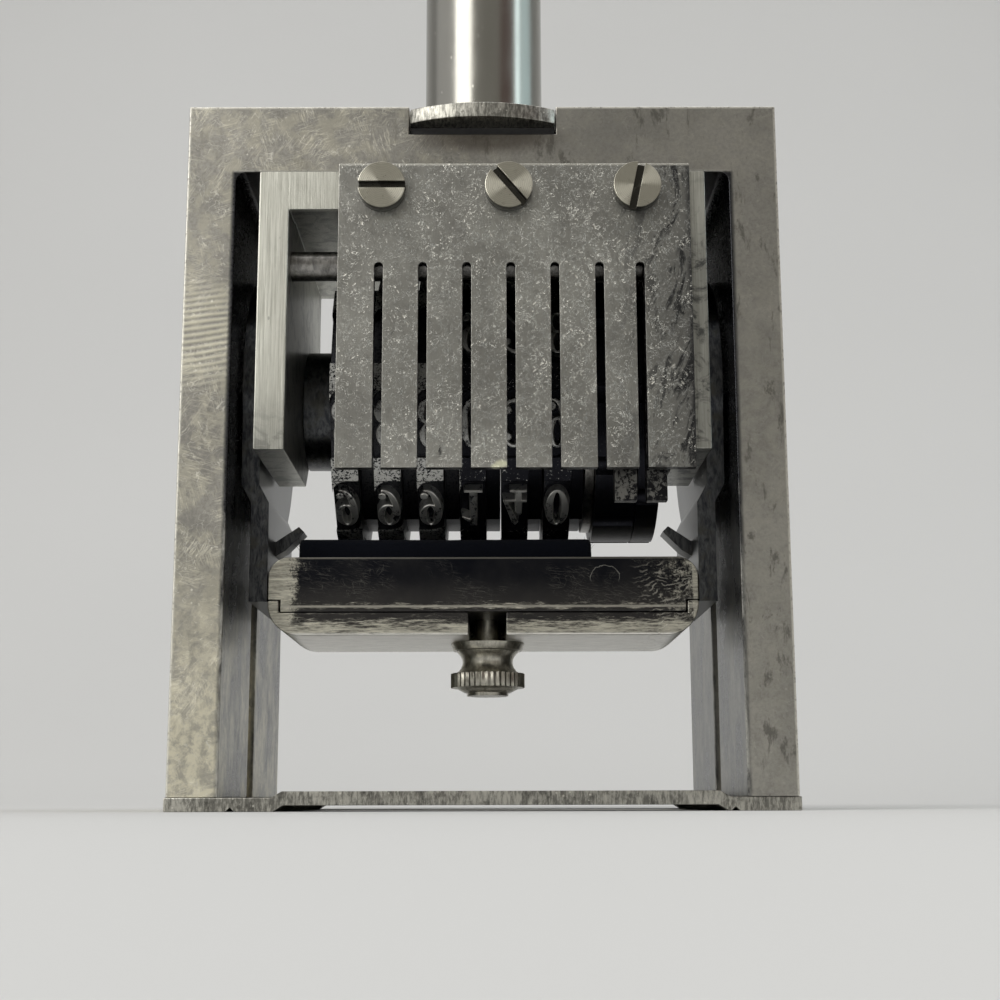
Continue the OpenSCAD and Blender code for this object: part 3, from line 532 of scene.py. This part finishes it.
# %% Carriage and comb plate
def carriage_brushed():
    """Bright steel with an upright grain, with painted shade behind the comb, and darker low down and at its
    right end.
    """
    material, shader, place = new_finish("carriage_steel", Metallic=1.0)
    brush = place.stretched((1, 1, 0.02)).cloud(0.15 * MM, 4, 0.75)
    broad = place.stretched((1, 1, 0.1)).cloud(1.6 * MM, 2)
    darkening_noise = place.cloud(2.0 * MM, 5, 0.7, 0.6).between(0.46, 0.62)
    x, y, z = place.axis("X"), place.axis("Y"), place.axis("Z")
    behind = y.between(-17.4 * MM, -16.9 * MM)
    low = z.between(37 * MM, 30 * MM)
    right = x.between(15 * MM, 16.4 * MM) * (z.between(54 * MM, 46 * MM) * 0.6 + 0.3)
    dents = nicks(place, 0.8 * MM, 0.1, 0.16, 0, 0.5)
    colour = blend(brush.between(0.3, 0.7), (0.52, 0.52, 0.46, 1), (0.86, 0.86, 0.78, 1))
    colour = blend(broad * 0.3, colour, (0.46, 0.45, 0.40, 1))
    colour = blend(dents * 0.4, colour, (0.08, 0.08, 0.075, 1))
    # painted shade on the faces behind the comb; the carriage is also painted darker low down and at its
    # right end
    shade_and_darkening = (behind * 0.62 | low * 0.6 | right) * (0.55 + 0.45 * darkening_noise)
    colour = blend(shade_and_darkening, colour, (0.045, 0.047, 0.05, 1))
    feed(shader, Base_Color=colour, Roughness=0.28 + 0.2 * brush, Normal=bump(brush, 0.02 * MM, 0.8))
    return material


def comb_steel():
    """Grey steel with crowds of tiny nicks and curls, and ink over its right end."""
    material, shader, place = new_finish("comb_steel", Metallic=1.0)
    broad = place.cloud(7 * MM, 3, 0.6, 0.3)
    fine = place.stretched((1, 1, 0.3)).cloud(0.2 * MM, 3, 0.7)
    x, y, z = place.axis("X"), place.axis("Y"), place.axis("Z")
    marks = (nicks(place, 0.34 * MM, 0.20, 0.26, 30, 0.4) | nicks(place, 0.40 * MM, 0.16, 0.20, -48, 0.3)
             | nicks(place, 0.26 * MM, 0.16, 0.30) | curls(place, 0.7 * MM) | curls(place, 0.5 * MM, 0.3))
    crowd = place.cloud(2.2 * MM, 4, 0.6, 0.5).between(0.44, 0.62)
    chip = spot(place, (1.6, -18.7, 28.7), (0.8, 1, 0.45)) | spot(place, (1.15, -18.7, 28.45), (0.6, 1, 0.4))
    end = x.between(9 * MM, 17.5 * MM)
    smears = place.turned((0, -18, 0)).stretched((1, 1, 0.35)).cloud(1.9 * MM, 5, 0.7, 0.7)
    ink = (smears.between(0.67, 0.76) | end * smears.between(0.50, 0.58)
           | x.between(17.3 * MM, 18.1 * MM) * smears.between(0.35, 0.5))
    edge = y.between(-18.62 * MM, -18.35 * MM)
    colour = blend(broad.between(0.35, 0.65), (0.31, 0.305, 0.28, 1), (0.45, 0.445, 0.41, 1))
    colour = blend(fine.between(0.3, 0.7) * 0.35, colour, (0.25, 0.247, 0.235, 1))
    colour = blend(end * 0.55, colour, (0.12, 0.12, 0.115, 1))
    colour = blend(ink * 0.9, colour, (0.016, 0.016, 0.018, 1))
    colour = blend(place.cloud(1.1 * MM, 4, 0.7).between(0.50, 0.66) * 0.3, colour, (0.17, 0.167, 0.155, 1))
    colour = blend(marks * (0.08 + 0.75 * crowd), colour, NICK)
    colour = blend(z.between(55.25 * MM, 55.4 * MM) * 0.6, colour, NICK)
    colour = blend(edge * 0.9, colour, (0.012, 0.012, 0.014, 1))
    colour = blend(chip, colour, (0.95, 0.95, 0.72, 1))
    height = 0.4 * fine + 0.5 * broad - 0.8 * marks
    feed(shader, Base_Color=colour, Roughness=0.30 + 0.12 * fine + 0.15 * ink,
         Normal=bump(height, 0.02 * MM, 0.8))
    return material


FINISHES["carriage_steel"] = carriage_brushed()
FINISHES["comb_steel"] = comb_steel()

# %% [markdown]
# ## Chrome, turned screws and rods
# The tube is plated and was polished once, so it needs a faint waviness and a few dents. A screw
# head is faced on a lathe, and its rings are too fine to see one by one, but they pull a lamp's
# glint into two bright wedges. Light and dark sectors in the colour stand for that, as a painted
# glint. Everything behind a head's face, its slot and its sides, is painted dark as painted shade.


# %% Chrome and turned steel
def chrome():
    """A polished plated tube, wiped dull in places."""
    material, shader, place = new_finish("tube_chrome", Metallic=1.0)
    soft = place.stretched((1, 1, 0.15)).cloud(6 * MM, 3)
    wiped = place.stretched((1, 1, 0.3)).cloud(1.2 * MM, 4, 0.6)
    dents = nicks(place, 0.5 * MM, 0.2, 0.2, 10, 0.4) * place.axis("X").between(1 * MM, -2 * MM)
    colour = blend(soft, (0.32, 0.312, 0.28, 1), (0.42, 0.412, 0.38, 1))
    colour = blend(dents * 0.6, colour, NICK)
    feed(shader, Base_Color=colour, Roughness=0.15 + 0.16 * wiped, Normal=bump(soft, 0.05 * MM, 0.25))
    return material


def turned_steel(name, light, dark, stain):
    """Turned parts: two tones, and stains where fingers and ink reach."""
    material, shader, place = new_finish(name, Metallic=1.0)
    rub = place.stretched((1, 1, 0.3)).cloud(0.35 * MM, 4, 0.7, 0.5)
    spots = place.cloud(1.3 * MM, 4, 0.6).between(0.5, 0.7)
    colour = blend(rub.between(0.3, 0.7), dark, light)
    colour = blend(spots * stain, colour, (0.07, 0.068, 0.06, 1))
    feed(shader, Base_Color=colour, Roughness=0.24 + 0.14 * rub, Normal=bump(rub, 0.015 * MM, 0.6))
    return material


SCREW_XS = (-8.7, 2.3, 13.4)
SCREW_Z = 53.1
SCREW_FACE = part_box("comb_screws")[0][1]
print(f"The screw heads' faces stand at y {SCREW_FACE / MM:.2f} mm")


def faced_heads():
    """Screw heads: a painted glint in light wedges around each head's centre, faint rings, and painted shade
    behind each face.
    """
    material, shader, place = new_finish("faced_heads", Metallic=1.0)
    wedges = rings = None
    for i, x in enumerate(SCREW_XS):
        dx = place.axis("X") - x * MM
        dz = place.axis("Z") - SCREW_Z * MM
        turn = dz.math("ARCTAN2", dz, dx) + math.radians(20 - 25 * i)
        wedge = turn.math("COSINE", turn * 2) * 0.5 + 0.5
        reach = (dx * dx + dz * dz).root()
        ring = reach.math("SINE", reach * (6.283 / (0.16 * MM))) * 0.5 + 0.5
        near = reach.between(2.9 * MM, 2.7 * MM)
        wedges = wedge * near if wedges is None else wedges | wedge * near
        rings = ring * near if rings is None else rings | ring * near
    rub = place.cloud(0.4 * MM, 4, 0.7)
    flare = wedges.between(0.55, 1.0)
    colour = blend(flare * 0.8 + 0.2 * rub, (0.44, 0.42, 0.35, 1), (1.0, 0.97, 0.84, 1))
    colour = blend(rings * 0.18, colour, (0.12, 0.115, 0.10, 1))
    # painted shade: everything behind a head's face, its slot and its sides, is painted nearly black
    shade_behind_face = place.axis("Y").between(SCREW_FACE + 0.1 * MM, SCREW_FACE + 0.3 * MM)
    colour = blend(shade_behind_face * 0.92, colour, (0.02, 0.019, 0.017, 1))
    feed(shader, Base_Color=colour, Roughness=0.22 + 0.15 * rub,
         Normal=bump(0.6 * rings + 0.4 * rub, 0.012 * MM, 0.6))
    return material


FINISHES["tube_chrome"] = chrome()
FINISHES["screw_steel"] = turned_steel("screw_steel", (0.60, 0.575, 0.50, 1), (0.34, 0.325, 0.28, 1), 0.45)
FINISHES["rod_steel"] = turned_steel("rod_steel", (0.34, 0.33, 0.31, 1), (0.16, 0.155, 0.15, 1), 0.6)
FINISHES["arm_steel"] = turned_steel("arm_steel", (0.11, 0.113, 0.115, 1), (0.028, 0.03, 0.036, 1), 0.8)
FACED_HEADS = faced_heads()

# %% [markdown]
# ## The ink holder
# Years of ink have made the front of the holder black, and hands have rubbed it bright again along
# its edges and at both ends. The rubbed share grows near the ends and the ledge, broken up by a
# noise, so that the border between black and bright is ragged.


# %% Ink holder
def holder_steel():
    """Ink over bright metal that shows at the ends, the ledge and the tray."""
    material, shader, place = new_finish("holder_steel", Metallic=1.0)
    x, z = place.axis("X"), place.axis("Z")
    ragged = place.cloud(0.6 * MM, 6, 0.75, 0.5)
    crumbs = place.cloud(0.16 * MM, 3, 0.75)
    level = place.stretched((0.12, 0.6, 1))
    streaks = level.cloud(0.22 * MM, 5, 0.75)
    left = x.between(-14.6 * MM, -18.4 * MM)
    right = x.between(11 * MM, 19 * MM)
    ledge = z.between(18.4 * MM, 17.55 * MM) * z.between(17.1 * MM, 17.5 * MM)
    line = within(z, 17.48 * MM, 17.66 * MM, 0.05 * MM) | z.between(21.7 * MM, 21.85 * MM) * 0.5
    tray = z.between(17.3 * MM, 15.3 * MM)
    under = z.between(15.35 * MM, 15.1 * MM)
    rim = abs(x).between(18.1 * MM, 18.6 * MM)
    ends = (1.0 * left | 0.45 * right | rim) + 1.6 * (ragged - 0.55) + 0.8 * (crumbs - 0.5)
    face = 0.5 * ledge | 0.14 + 0.75 * tray & z.between(17.15 * MM, 17.0 * MM)
    face = (face + 2.2 * (streaks - 0.5)).between(0.34, 0.86) * face.between(0.05, 0.2)
    rubbed = ends.between(0.24, 0.66) | face | under * 0.95
    chip = spot(place, (10.7, -11.2, 20.0), (1.7, 3, 1.5)) + 0.9 * (place.cloud(0.9 * MM, 4, 0.6, 0.8) - 0.5)
    torn = within(chip, 0.30, 0.36, 0.05) * z.between(19.6 * MM, 20.2 * MM) * chip.between(0.1, 0.3)
    waves = place.turned((0, 12, 0))
    scales = waves.node("TexWave", {"wave_type": "BANDS", "bands_direction": "Z"}, 1, Vector=waves,
                        Scale=0.314 / (0.42 * MM), Distortion=14.0, Detail=4.0, Detail_Scale=0.9)
    scales = scales.between(0.70, 0.95) * x.between(12.5 * MM, 15.5 * MM) * z.between(21.8 * MM, 21 * MM)
    scales = scales * place.cloud(0.8 * MM, 3, 0.6).between(0.42, 0.56)
    lines = (strokes(place, 84, 0.05 * MM, 0.03, 0.3) | strokes(place, 66, 0.05 * MM, 0.05, 0.25)
             | curls(place, 1.1 * MM)) * place.cloud(4 * MM, 2).between(0.45, 0.6)
    haze = z.between(20.6 * MM, 17.6 * MM) * 0.5 + 0.5 * place.cloud(3 * MM, 3) - 0.2
    metal = blend(streaks.between(0.3, 0.7), (0.26, 0.25, 0.215, 1), (0.74, 0.715, 0.61, 1))
    bright = blend(streaks.between(0.3, 0.7), (0.78, 0.765, 0.72, 1), (0.95, 0.93, 0.88, 1))
    metal = blend(under, metal, bright)
    ink = blend(haze, (0.010, 0.011, 0.015, 1), (0.085, 0.08, 0.075, 1))
    colour = blend(rubbed, ink, metal)
    colour = blend(torn * 0.8, colour, (0.45, 0.445, 0.41, 1))
    colour = blend(scales * 0.6 | lines * 0.15 | line * 0.75, colour, (0.52, 0.50, 0.44, 1))
    height = 0.5 * crumbs + 0.5 * ragged + 0.6 * scales
    feed(shader, Base_Color=colour, Roughness=0.28 + 0.16 * ragged, Normal=bump(height, 0.025 * MM, 0.8))
    return material


# %% [markdown]
# ## Ink, felt and grip
# The wheels are steel under a wet black film. On the rims of the first three it has worn away to
# pale speckled metal. The felt soaks up everything. The grip is turned wood under black lacquer.


# %% Inked wheels, pawls, felt, buffer and grip
AXLE_Z = 37.8 * MM


def wheel_steel():
    """A wet black film on steel, worn to pale specks on the rims."""
    material, shader, place = new_finish("inked_wheel", Metallic=0.9)
    x, y, z = place.axis("X"), place.axis("Y"), place.axis("Z") - AXLE_Z
    radius = (y * y + z * z).root()
    rim = radius.between(13.4 * MM, 13.5 * MM)
    speckle = place.cloud(0.2 * MM, 3, 0.7)
    patch = place.cloud(1.5 * MM, 3, 0.6)
    often = x.between(-1.6 * MM, -2.4 * MM) * 0.2 - 0.05
    worn = (speckle + 0.35 * (patch - 0.5) + often).between(0.56, 0.64) * (rim * 0.9 + 0.05)
    film = blend(patch, (0.008, 0.008, 0.011, 1), (0.020, 0.021, 0.027, 1))
    feed(shader, Base_Color=blend(worn, film, (0.52, 0.52, 0.50, 1)), Roughness=0.26 + 0.25 * speckle,
         Normal=bump(0.5 * speckle + patch, 0.02 * MM, 0.6))
    return material


def inked_steel(name, film, metal, share):
    """Steel under a film of ink; share says how much of it is rubbed bare."""
    material, shader, place = new_finish(name, Metallic=0.9)
    worn = place.cloud(0.45 * MM, 6, 0.75, 0.4)
    broad = place.cloud(2.5 * MM, 2)
    rubbed = (worn + 0.5 * (broad - 0.5)).between(0.70 - share * 0.4, 0.78 - share * 0.4)
    fine = place.cloud(0.1 * MM, 3)
    feed(shader, Base_Color=blend(rubbed, film, metal), Roughness=0.28 + 0.2 * fine,
         Normal=bump(0.5 * fine + worn, 0.02 * MM, 0.6))
    return material


def felt():
    """Wool that is soaked with blue-black ink."""
    material, shader, place = new_finish("pad_felt", Sheen_Weight=0.04, Sheen_Roughness=0.6,
                                         Specular_IOR_Level=0.08)
    wool = place.cloud(0.18 * MM, 5, 0.8, 1.5)
    feed(shader, Base_Color=blend(wool, (0.0015, 0.002, 0.004, 1), (0.005, 0.007, 0.014, 1)),
         Roughness=0.75 + 0.2 * wool, Normal=bump(wool, 0.12 * MM, 1.0))
    return material


def dark_buffer():
    """Dull pressed fibre."""
    material, shader, place = new_finish("buffer_fibre", Roughness=0.7)
    speckle = place.cloud(0.4 * MM, 5, 0.7)
    feed(shader, Base_Color=blend(speckle, (0.010, 0.010, 0.013, 1), (0.04, 0.038, 0.036, 1)),
         Normal=bump(speckle, 0.05 * MM, 0.8))
    return material


def black_lacquer():
    """Black lacquer over turned wood, with a few dull scuffs."""
    material, shader, place = new_finish("grip_black", Coat_Weight=0.6, Coat_Roughness=0.08)
    wood = place.stretched((1, 1, 0.08)).cloud(1.6 * MM, 5, 0.6, 1.0)
    dulled = place.cloud(12 * MM, 4, 0.6)
    scuffs = strokes(place, 60, 0.3 * MM, 0.08, 0.3) * dulled.between(0.5, 0.6)
    colour = blend(wood, (0.006, 0.006, 0.006, 1), (0.022, 0.018, 0.016, 1))
    feed(shader, Base_Color=blend(scuffs * 0.4, colour, (0.09, 0.085, 0.08, 1)),
         Roughness=0.22 + 0.2 * dulled, Normal=bump(0.6 * wood + 0.4 * scuffs, 0.03 * MM, 0.4))
    return material


FINISHES["holder_steel"] = holder_steel()
FINISHES["inked_wheel"] = wheel_steel()
FINISHES["pawl_steel"] = inked_steel("pawl_steel", (0.014, 0.014, 0.016, 1), (0.20, 0.197, 0.185, 1), 0.55)
FINISHES["pad_felt"] = felt()
FINISHES["buffer_fibre"] = dark_buffer()
FINISHES["grip_black"] = black_lacquer()
TYPE_FACE = inked_steel("type_face", (0.05, 0.051, 0.055, 1), (0.48, 0.48, 0.46, 1), 0.8)
# type_edge covers the figures' bevelled band: ink rubbed off there, and a painted highlight that makes the
# band lighter than the face
TYPE_EDGE = inked_steel("type_edge", (0.10, 0.10, 0.10, 1), (0.75, 0.74, 0.70, 1), 0.85)

OWN_FINISH = {"comb_screws": FACED_HEADS}
for part in frame["record"]["subparts"]:
    name = part["node"]
    slot = nodes[name].material_slots[0]
    slot.link = "OBJECT"
    slot.material = OWN_FINISH.get(name, FINISHES[part["material_slot"]])
print("Finishes:", ", ".join(sorted(FINISHES)))

# %% [markdown]
# ## Raised figures
# A figure wheel carries the ten figures in relief, each standing in a milled pocket. Printing type
# has thick uprights, thin hairlines and slab feet. Each figure is drawn flat from a few closed
# loops: solid ones and holes. One triangulation of all its loops together merges the solid ones
# and cuts the holes, so that the outline is clean, and then it is raised and bent onto the wheel.

# %% Draw the figures as flat loops
TYPE_W = 2.1
TYPE_H = 4.4


def oval(x, y, rx, ry, start=0, stop=360, steps=28):
    """Points along an ellipse's arc, in degrees."""
    turns = [math.radians(start + (stop - start) * i / steps) for i in range(steps + (stop - start < 360))]
    return [(x + rx * math.cos(t), y + ry * math.sin(t)) for t in turns]


def bar(x0, x1, y0, y1):
    """A rectangle as a closed loop."""
    return [(x0, y0), (x1, y0), (x1, y1), (x0, y1)]


def crescent(x, y, rx, ry, thick, start, stop):
    """A curved stroke that is thickest in its middle and thin at both ends."""
    steps = 22
    outer, inner = [], []
    for i in range(steps + 1):
        t = math.radians(start + (stop - start) * i / steps)
        w = HAIR + (thick - HAIR) * math.sin(math.pi * i / steps)
        outer.append((x + rx * math.cos(t), y + ry * math.sin(t)))
        inner.append((x + (rx - w) * math.cos(t), y + (ry - w * 0.55) * math.sin(t)))
    return outer + inner[::-1]


HAIR = 0.2
STEM = 0.62
BALL = 0.33
ring = oval(1.05, 2.2, 1.05, 2.2), oval(1.05, 2.2, 0.40, 1.96)
top_ring = oval(1.05, 3.28, 0.86, 1.12), oval(1.05, 3.28, 0.36, 0.93)
low_ring = oval(1.05, 1.15, 1.02, 1.15), oval(1.05, 1.15, 0.44, 0.94)
nine_ring = oval(1.0, 3.02, 0.98, 1.38), oval(1.0, 3.02, 0.40, 1.16)
six_ring = [[(TYPE_W - x, TYPE_H - y) for x, y in loop] for loop in nine_ring]
nine_tail = crescent(0.62, 2.6, 1.42, 2.6, STEM, -98, 18)
six_tail = [(TYPE_W - x, TYPE_H - y) for x, y in nine_tail]
FIGURES = [
    ([ring[0]], [ring[1]]),
    ([bar(0.78, 0.78 + STEM, 0.2, 4.4), bar(0.28, 1.9, 0, HAIR + 0.05),
      [(0.9, 4.4), (0.78, 4.05), (0.04, 3.34), (0.1, 3.14), (0.82, 3.5), (1.0, 3.7)]], []),
    ([crescent(1.0, 3.2, 1.0, 1.2, STEM, -38, 168), oval(0.36, 3.26, BALL, BALL),
      [(1.88, 2.75), (1.62, 2.05), (0.42, 0.72), (0.1, 0.0), (0.36, 0.0), (0.8, 0.72), (1.98, 2.3)],
      [(0.1, 0), (0.1, 0.32), (0.6, 0.72), (1.3, 0.55), (1.75, 0.65), (1.95, 1.2), (2.08, 1.2),
       (1.9, 0)]], []),
    ([crescent(0.95, 3.3, 0.92, 1.1, STEM, -84, 165), oval(0.38, 3.4, BALL, BALL),
      crescent(0.98, 1.18, 1.05, 1.18, STEM, -165, 84), oval(0.36, 1.02, BALL, BALL)], []),
    ([[(1.08, 0.1), (1.64, 0.1), (1.64, 2.75), (1.5, 3.0), (1.08, 2.5)],
      bar(0.0, 2.08, 1.1, 1.1 + HAIR + 0.05), bar(0.6, 2.08, 0, HAIR + 0.05),
      [(0.0, 1.2), (0.36, 1.25), (1.36, 3.95), (1.08, 4.36), (0.8, 4.0)]], []),
    ([bar(0.32, 0.32 + HAIR, 2.2, 4.3), [(0.32, 4.4), (0.42, 3.75), (1.5, 3.75), (1.86, 4.4)],
      crescent(0.95, 1.36, 1.08, 1.36, STEM, -165, 140), oval(0.36, 0.98, BALL, BALL)], []),
    ([six_ring[0], six_tail, oval(1.62, 3.72, BALL, BALL)], [six_ring[1]]),
    ([[(0.1, 3.1), (0.18, 4.4), (0.4, 4.2), (2.05, 4.4), (2.05, 4.1), (1.35, 2.2), (1.32, 0), (0.62, 0),
       (0.8, 1.9), (1.75, 3.72), (0.5, 3.72), (0.24, 3.1)]], []),
    ([top_ring[0], low_ring[0]], [top_ring[1], low_ring[1]]),
    ([nine_ring[0], nine_tail, oval(0.48, 0.68, BALL, BALL)], [nine_ring[1]]),
]


# %% [markdown]
# ## From a flat drawing to relief
# A flat shape becomes a solid by copying its outline at several heights. The outline moves
# outwards a little on the way down, which gives the type its bevelled edge and its sloping sides.


# %% Raise a flat shape
def flat_shape(solid, holes):
    """Triangulates overlapping loops as one shape: returns its points and its triangles."""
    points, loops = [], []
    for loop in solid + holes:
        loops.append(list(range(len(points), len(points) + len(loop))))
        points += [Vector(p) for p in loop]
    verts, _, faces, _, _, sources = delaunay_2d_cdt(points, [], loops, 1, 1e-6)
    kept = []
    for face, source in zip(faces, sources):
        if any(s < len(solid) for s in source) and not any(s >= len(solid) for s in source):
            kept.append(face)
    return [tuple(v) for v in verts], kept


def raise_shape(bm, shape, place, levels):
    """Adds a flat shape as a raised solid. place maps (x, y, height) to a point. levels are pairs of
    (height, how far the outline has moved outwards), from the top down."""
    points, faces = shape
    edges = {}
    for face in faces:
        for a, b in zip(face, face[1:] + face[:1]):
            edges[(a, b)] = (b, a) not in edges
            if (b, a) in edges:
                edges[(b, a)] = edges[(a, b)] = False
    rim = [e for e, outside in edges.items() if outside]
    push = {}
    for a, b in rim:
        dx, dy = points[b][0] - points[a][0], points[b][1] - points[a][1]
        size = math.hypot(dx, dy) or 1
        for v in (a, b):
            old = push.get(v, (0, 0))
            push[v] = (old[0] + dy / size, old[1] - dx / size)
    used = sorted({v for face in faces for v in face})
    rings = []
    for height, outward in levels:
        ring = {}
        for v in used:
            px, py = push.get(v, (0, 0))
            size = math.hypot(px, py) or 1
            x, y = points[v][0] + outward * px / size, points[v][1] + outward * py / size
            ring[v] = bm.verts.new(place(x, y, height))
        rings.append(ring)
    for face in faces:
        bm.faces.new([rings[0][v] for v in face])
        bm.faces.new([rings[-1][v] for v in reversed(face)])
    for step, (upper, lower) in enumerate(zip(rings, rings[1:])):
        for a, b in rim:
            side = bm.faces.new([upper[b], upper[a], lower[a], lower[b]])
            # the top band of the sides takes the lighter second finish: a painted highlight on the figures'
            # edges, with wear
            side.material_index = 1 if step == 0 and len(levels) > 2 else 0


def finish_mesh(bm, name, *materials):
    """Turns a bmesh into a mesh with its finishes and outward faces."""
    bmesh.ops.recalc_face_normals(bm, faces=bm.faces)
    mesh = bpy.data.meshes.new(name)
    bm.to_mesh(mesh)
    bm.free()
    for material in materials:
        mesh.materials.append(material)
    return mesh


FLAT_FIGURES = [flat_shape(solid, holes) for solid, holes in FIGURES]
print("Figures drawn with", [len(faces) for _, faces in FLAT_FIGURES], "triangles")

# %% [markdown]
# ## Figures and pockets on the wheels
# The wheel's lowest figure prints. Seen from the front, the row just above it reads 9 9 9 1 4 0.
# Each wheel's turn at rest follows from that. A pocket was cut with a round cutter, so its two
# ends are arched: four small corners at each pocket turn the model's square ends into arches.

# %% Set the figures on the wheels
TYPE_R = 13.68
RIM_R = 13.6
FLOOR_R = 12.55
TYPE_LEVELS = ((TYPE_R, -0.05), (TYPE_R - 0.07, 0.02), (FLOOR_R, 0.14))
POCKET_LEN = 6.2
ROW_STEP = 36
LOWEST = 270
PRINTING = (0, 0, 0, 2, 5, 1)
RIM_WIDTH = 2.4


def on_wheel(left, angle):
    """Maps (x across, y round the rim, radius), in millimetres, onto a wheel."""
    def place(x, y, r):
        turn = math.radians(angle) + y / TYPE_R
        return (left + x * MM, r * MM * math.cos(turn), AXLE_Z + r * MM * math.sin(turn))
    return place


def pocket_corner(mirror, flip):
    """One corner between a pocket's square end and its arch, in the wheel's flat coordinates."""
    depth = 1.2
    arc = oval(RIM_WIDTH / 2, POCKET_LEN / 2 - depth, RIM_WIDTH / 2, depth, 90, 180, 9)
    loop = [(0.0, POCKET_LEN / 2 + 0.02)] + [(x, min(y, POCKET_LEN / 2)) for x, y in arc]
    loop = [(RIM_WIDTH - x if mirror else x, -y if flip else y) for x, y in loop]
    return flat_shape([loop], [])


corners = [pocket_corner(mirror, flip) for mirror in (False, True) for flip in (False, True)]
for k, printing in enumerate(PRINTING):
    low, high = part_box(f"number_wheel_{k + 1}")
    figures, arches = bmesh.new(), bmesh.new()
    for j in range(10):
        angle = LOWEST - ROW_STEP * j
        shift = low.x + (RIM_WIDTH - TYPE_W) / 2 * MM
        centred = on_wheel(shift, angle)
        raise_shape(figures, FLAT_FIGURES[(printing - j) % 10],
                    lambda x, y, r, put=centred: put(x, y - TYPE_H / 2, r), TYPE_LEVELS)
        for corner in corners:
            raise_shape(arches, corner, on_wheel(low.x, angle), ((RIM_R - 0.005, 0), (FLOOR_R, 0)))
    mesh = finish_mesh(figures, "figures", TYPE_FACE, TYPE_EDGE)
    add_piece(f"figures_{k + 1}", mesh, f"number_wheel_{k + 1}")
    add_piece(f"pocket_arches_{k + 1}", finish_mesh(arches, "pocket_arches", FINISHES["inked_wheel"]),
              f"number_wheel_{k + 1}")
print("60 figures stand on 6 wheels")

# %% [markdown]
# ## The felt pad
# The pad is a block of felt, soaked and pressed down by years of stamping. It is modelled as a
# grid block whose faces are pushed in and out by a noise, and single hairs of wool are drawn as
# thin tapered strands, most of them along the upper edges where the wheels pull at it.

# %% The felt pad and its hairs
random.seed(7)
PAD_STEP = 0.45 * MM


def felt_block(low, high):
    """A block made of small squares, its corners rounded and its faces uneven."""
    bm = bmesh.new()
    bmesh.ops.create_cube(bm, size=1)
    size = high - low
    for vert in bm.verts:
        vert.co = Vector(low[i] + (vert.co[i] + 0.5) * size[i] for i in range(3))
    for axis in range(3):
        count = round(size[axis] / PAD_STEP)
        for i in range(1, count):
            cut = low.copy()
            cut[axis] = low[axis] + size[axis] * i / count
            normal = Vector(1.0 if a == axis else 0.0 for a in range(3))
            everything = bm.verts[:] + bm.edges[:] + bm.faces[:]
            bmesh.ops.bisect_plane(bm, geom=everything, plane_co=cut, plane_no=normal)
    middle = (low + high) / 2
    for vert in bm.verts:
        lump = noise.noise(vert.co / (1.6 * MM)) * 0.5 + noise.noise(vert.co / (0.5 * MM)) * 0.5
        inward = (middle - vert.co).normalized()
        near_edge = sum(min(vert.co[i] - low[i], high[i] - vert.co[i]) < PAD_STEP * 0.5 for i in range(3))
        pull = (0.05 + 0.07 * lump + 0.16 * max(near_edge - 1, 0)) * MM
        if vert.co.z > low.z + PAD_STEP * 0.5:
            vert.co += inward * pull
    return bm


pad_low, pad_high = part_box("ink_pad")
pad_mesh = finish_mesh(felt_block(pad_low, pad_high), "felt_pad", FINISHES["pad_felt"])
for face in pad_mesh.polygons:
    face.use_smooth = True
pad = add_piece("felt_pad", pad_mesh, "ink_holder")
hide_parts("ink_pad")


def add_strand(bm, root, lean, length, width):
    """A thin three-sided hair that bends as it rises from its root."""
    rings = []
    side = lean.orthogonal().normalized()
    other = lean.cross(side).normalized()
    curl = Vector(random.uniform(-0.5, 0.5) for _ in range(3))
    for i in range(4):
        share = i / 3
        centre = root + lean * length * share + curl * length * share * share
        r = width * (1 - 0.8 * share)
        ring = []
        for corner in range(3):
            turn = 2 * math.pi * corner / 3
            ring.append(bm.verts.new(centre + (side * math.cos(turn) + other * math.sin(turn)) * r))
        rings.append(ring)
    for first, second in zip(rings, rings[1:]):
        for i in range(3):
            bm.faces.new([first[i], first[(i + 1) % 3], second[(i + 1) % 3], second[i]])
    bm.faces.new(rings[0][::-1])
    bm.faces.new(rings[-1])


def pad_fluff(low, high):
    """Hairs round the pad's upper edges: short where the wheels press, longer at the ends."""
    bm = bmesh.new()
    for _ in range(900):
        x = random.uniform(low.x, high.x)
        front = random.random() < 0.6
        y = low.y + 0.25 * MM if front else random.uniform(low.y, high.y)
        top = high.z - 0.25 * MM
        z = random.uniform(top - 1.3 * MM, top) if front else top
        end = max(0.0, (low.x + 3.6 * MM - x) / (3.6 * MM), (x - high.x + 1.5 * MM) / (1.5 * MM))
        lean = Vector((random.uniform(-0.7, 0.7), -0.8 if front else random.uniform(-0.6, 0.6),
                       random.uniform(0.0, 0.35) + 0.9 * end)).normalized()
        length = random.uniform(0.15, 0.32) * MM + end * random.random() ** 3 * 1.3 * MM
        add_strand(bm, Vector((x, y, z)), lean, length, random.uniform(0.012, 0.03) * MM)
    return bm


fluff = finish_mesh(pad_fluff(pad_low, pad_high), "pad_fluff", FINISHES["pad_felt"])
add_piece("pad_fluff", fluff, "ink_holder")
print("Pad:", len(pad_mesh.vertices), "points; fluff:", len(fluff.polygons), "faces")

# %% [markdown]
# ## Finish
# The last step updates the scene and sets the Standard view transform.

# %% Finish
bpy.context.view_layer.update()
view = bpy.context.scene.view_settings
view.view_transform = "Standard"
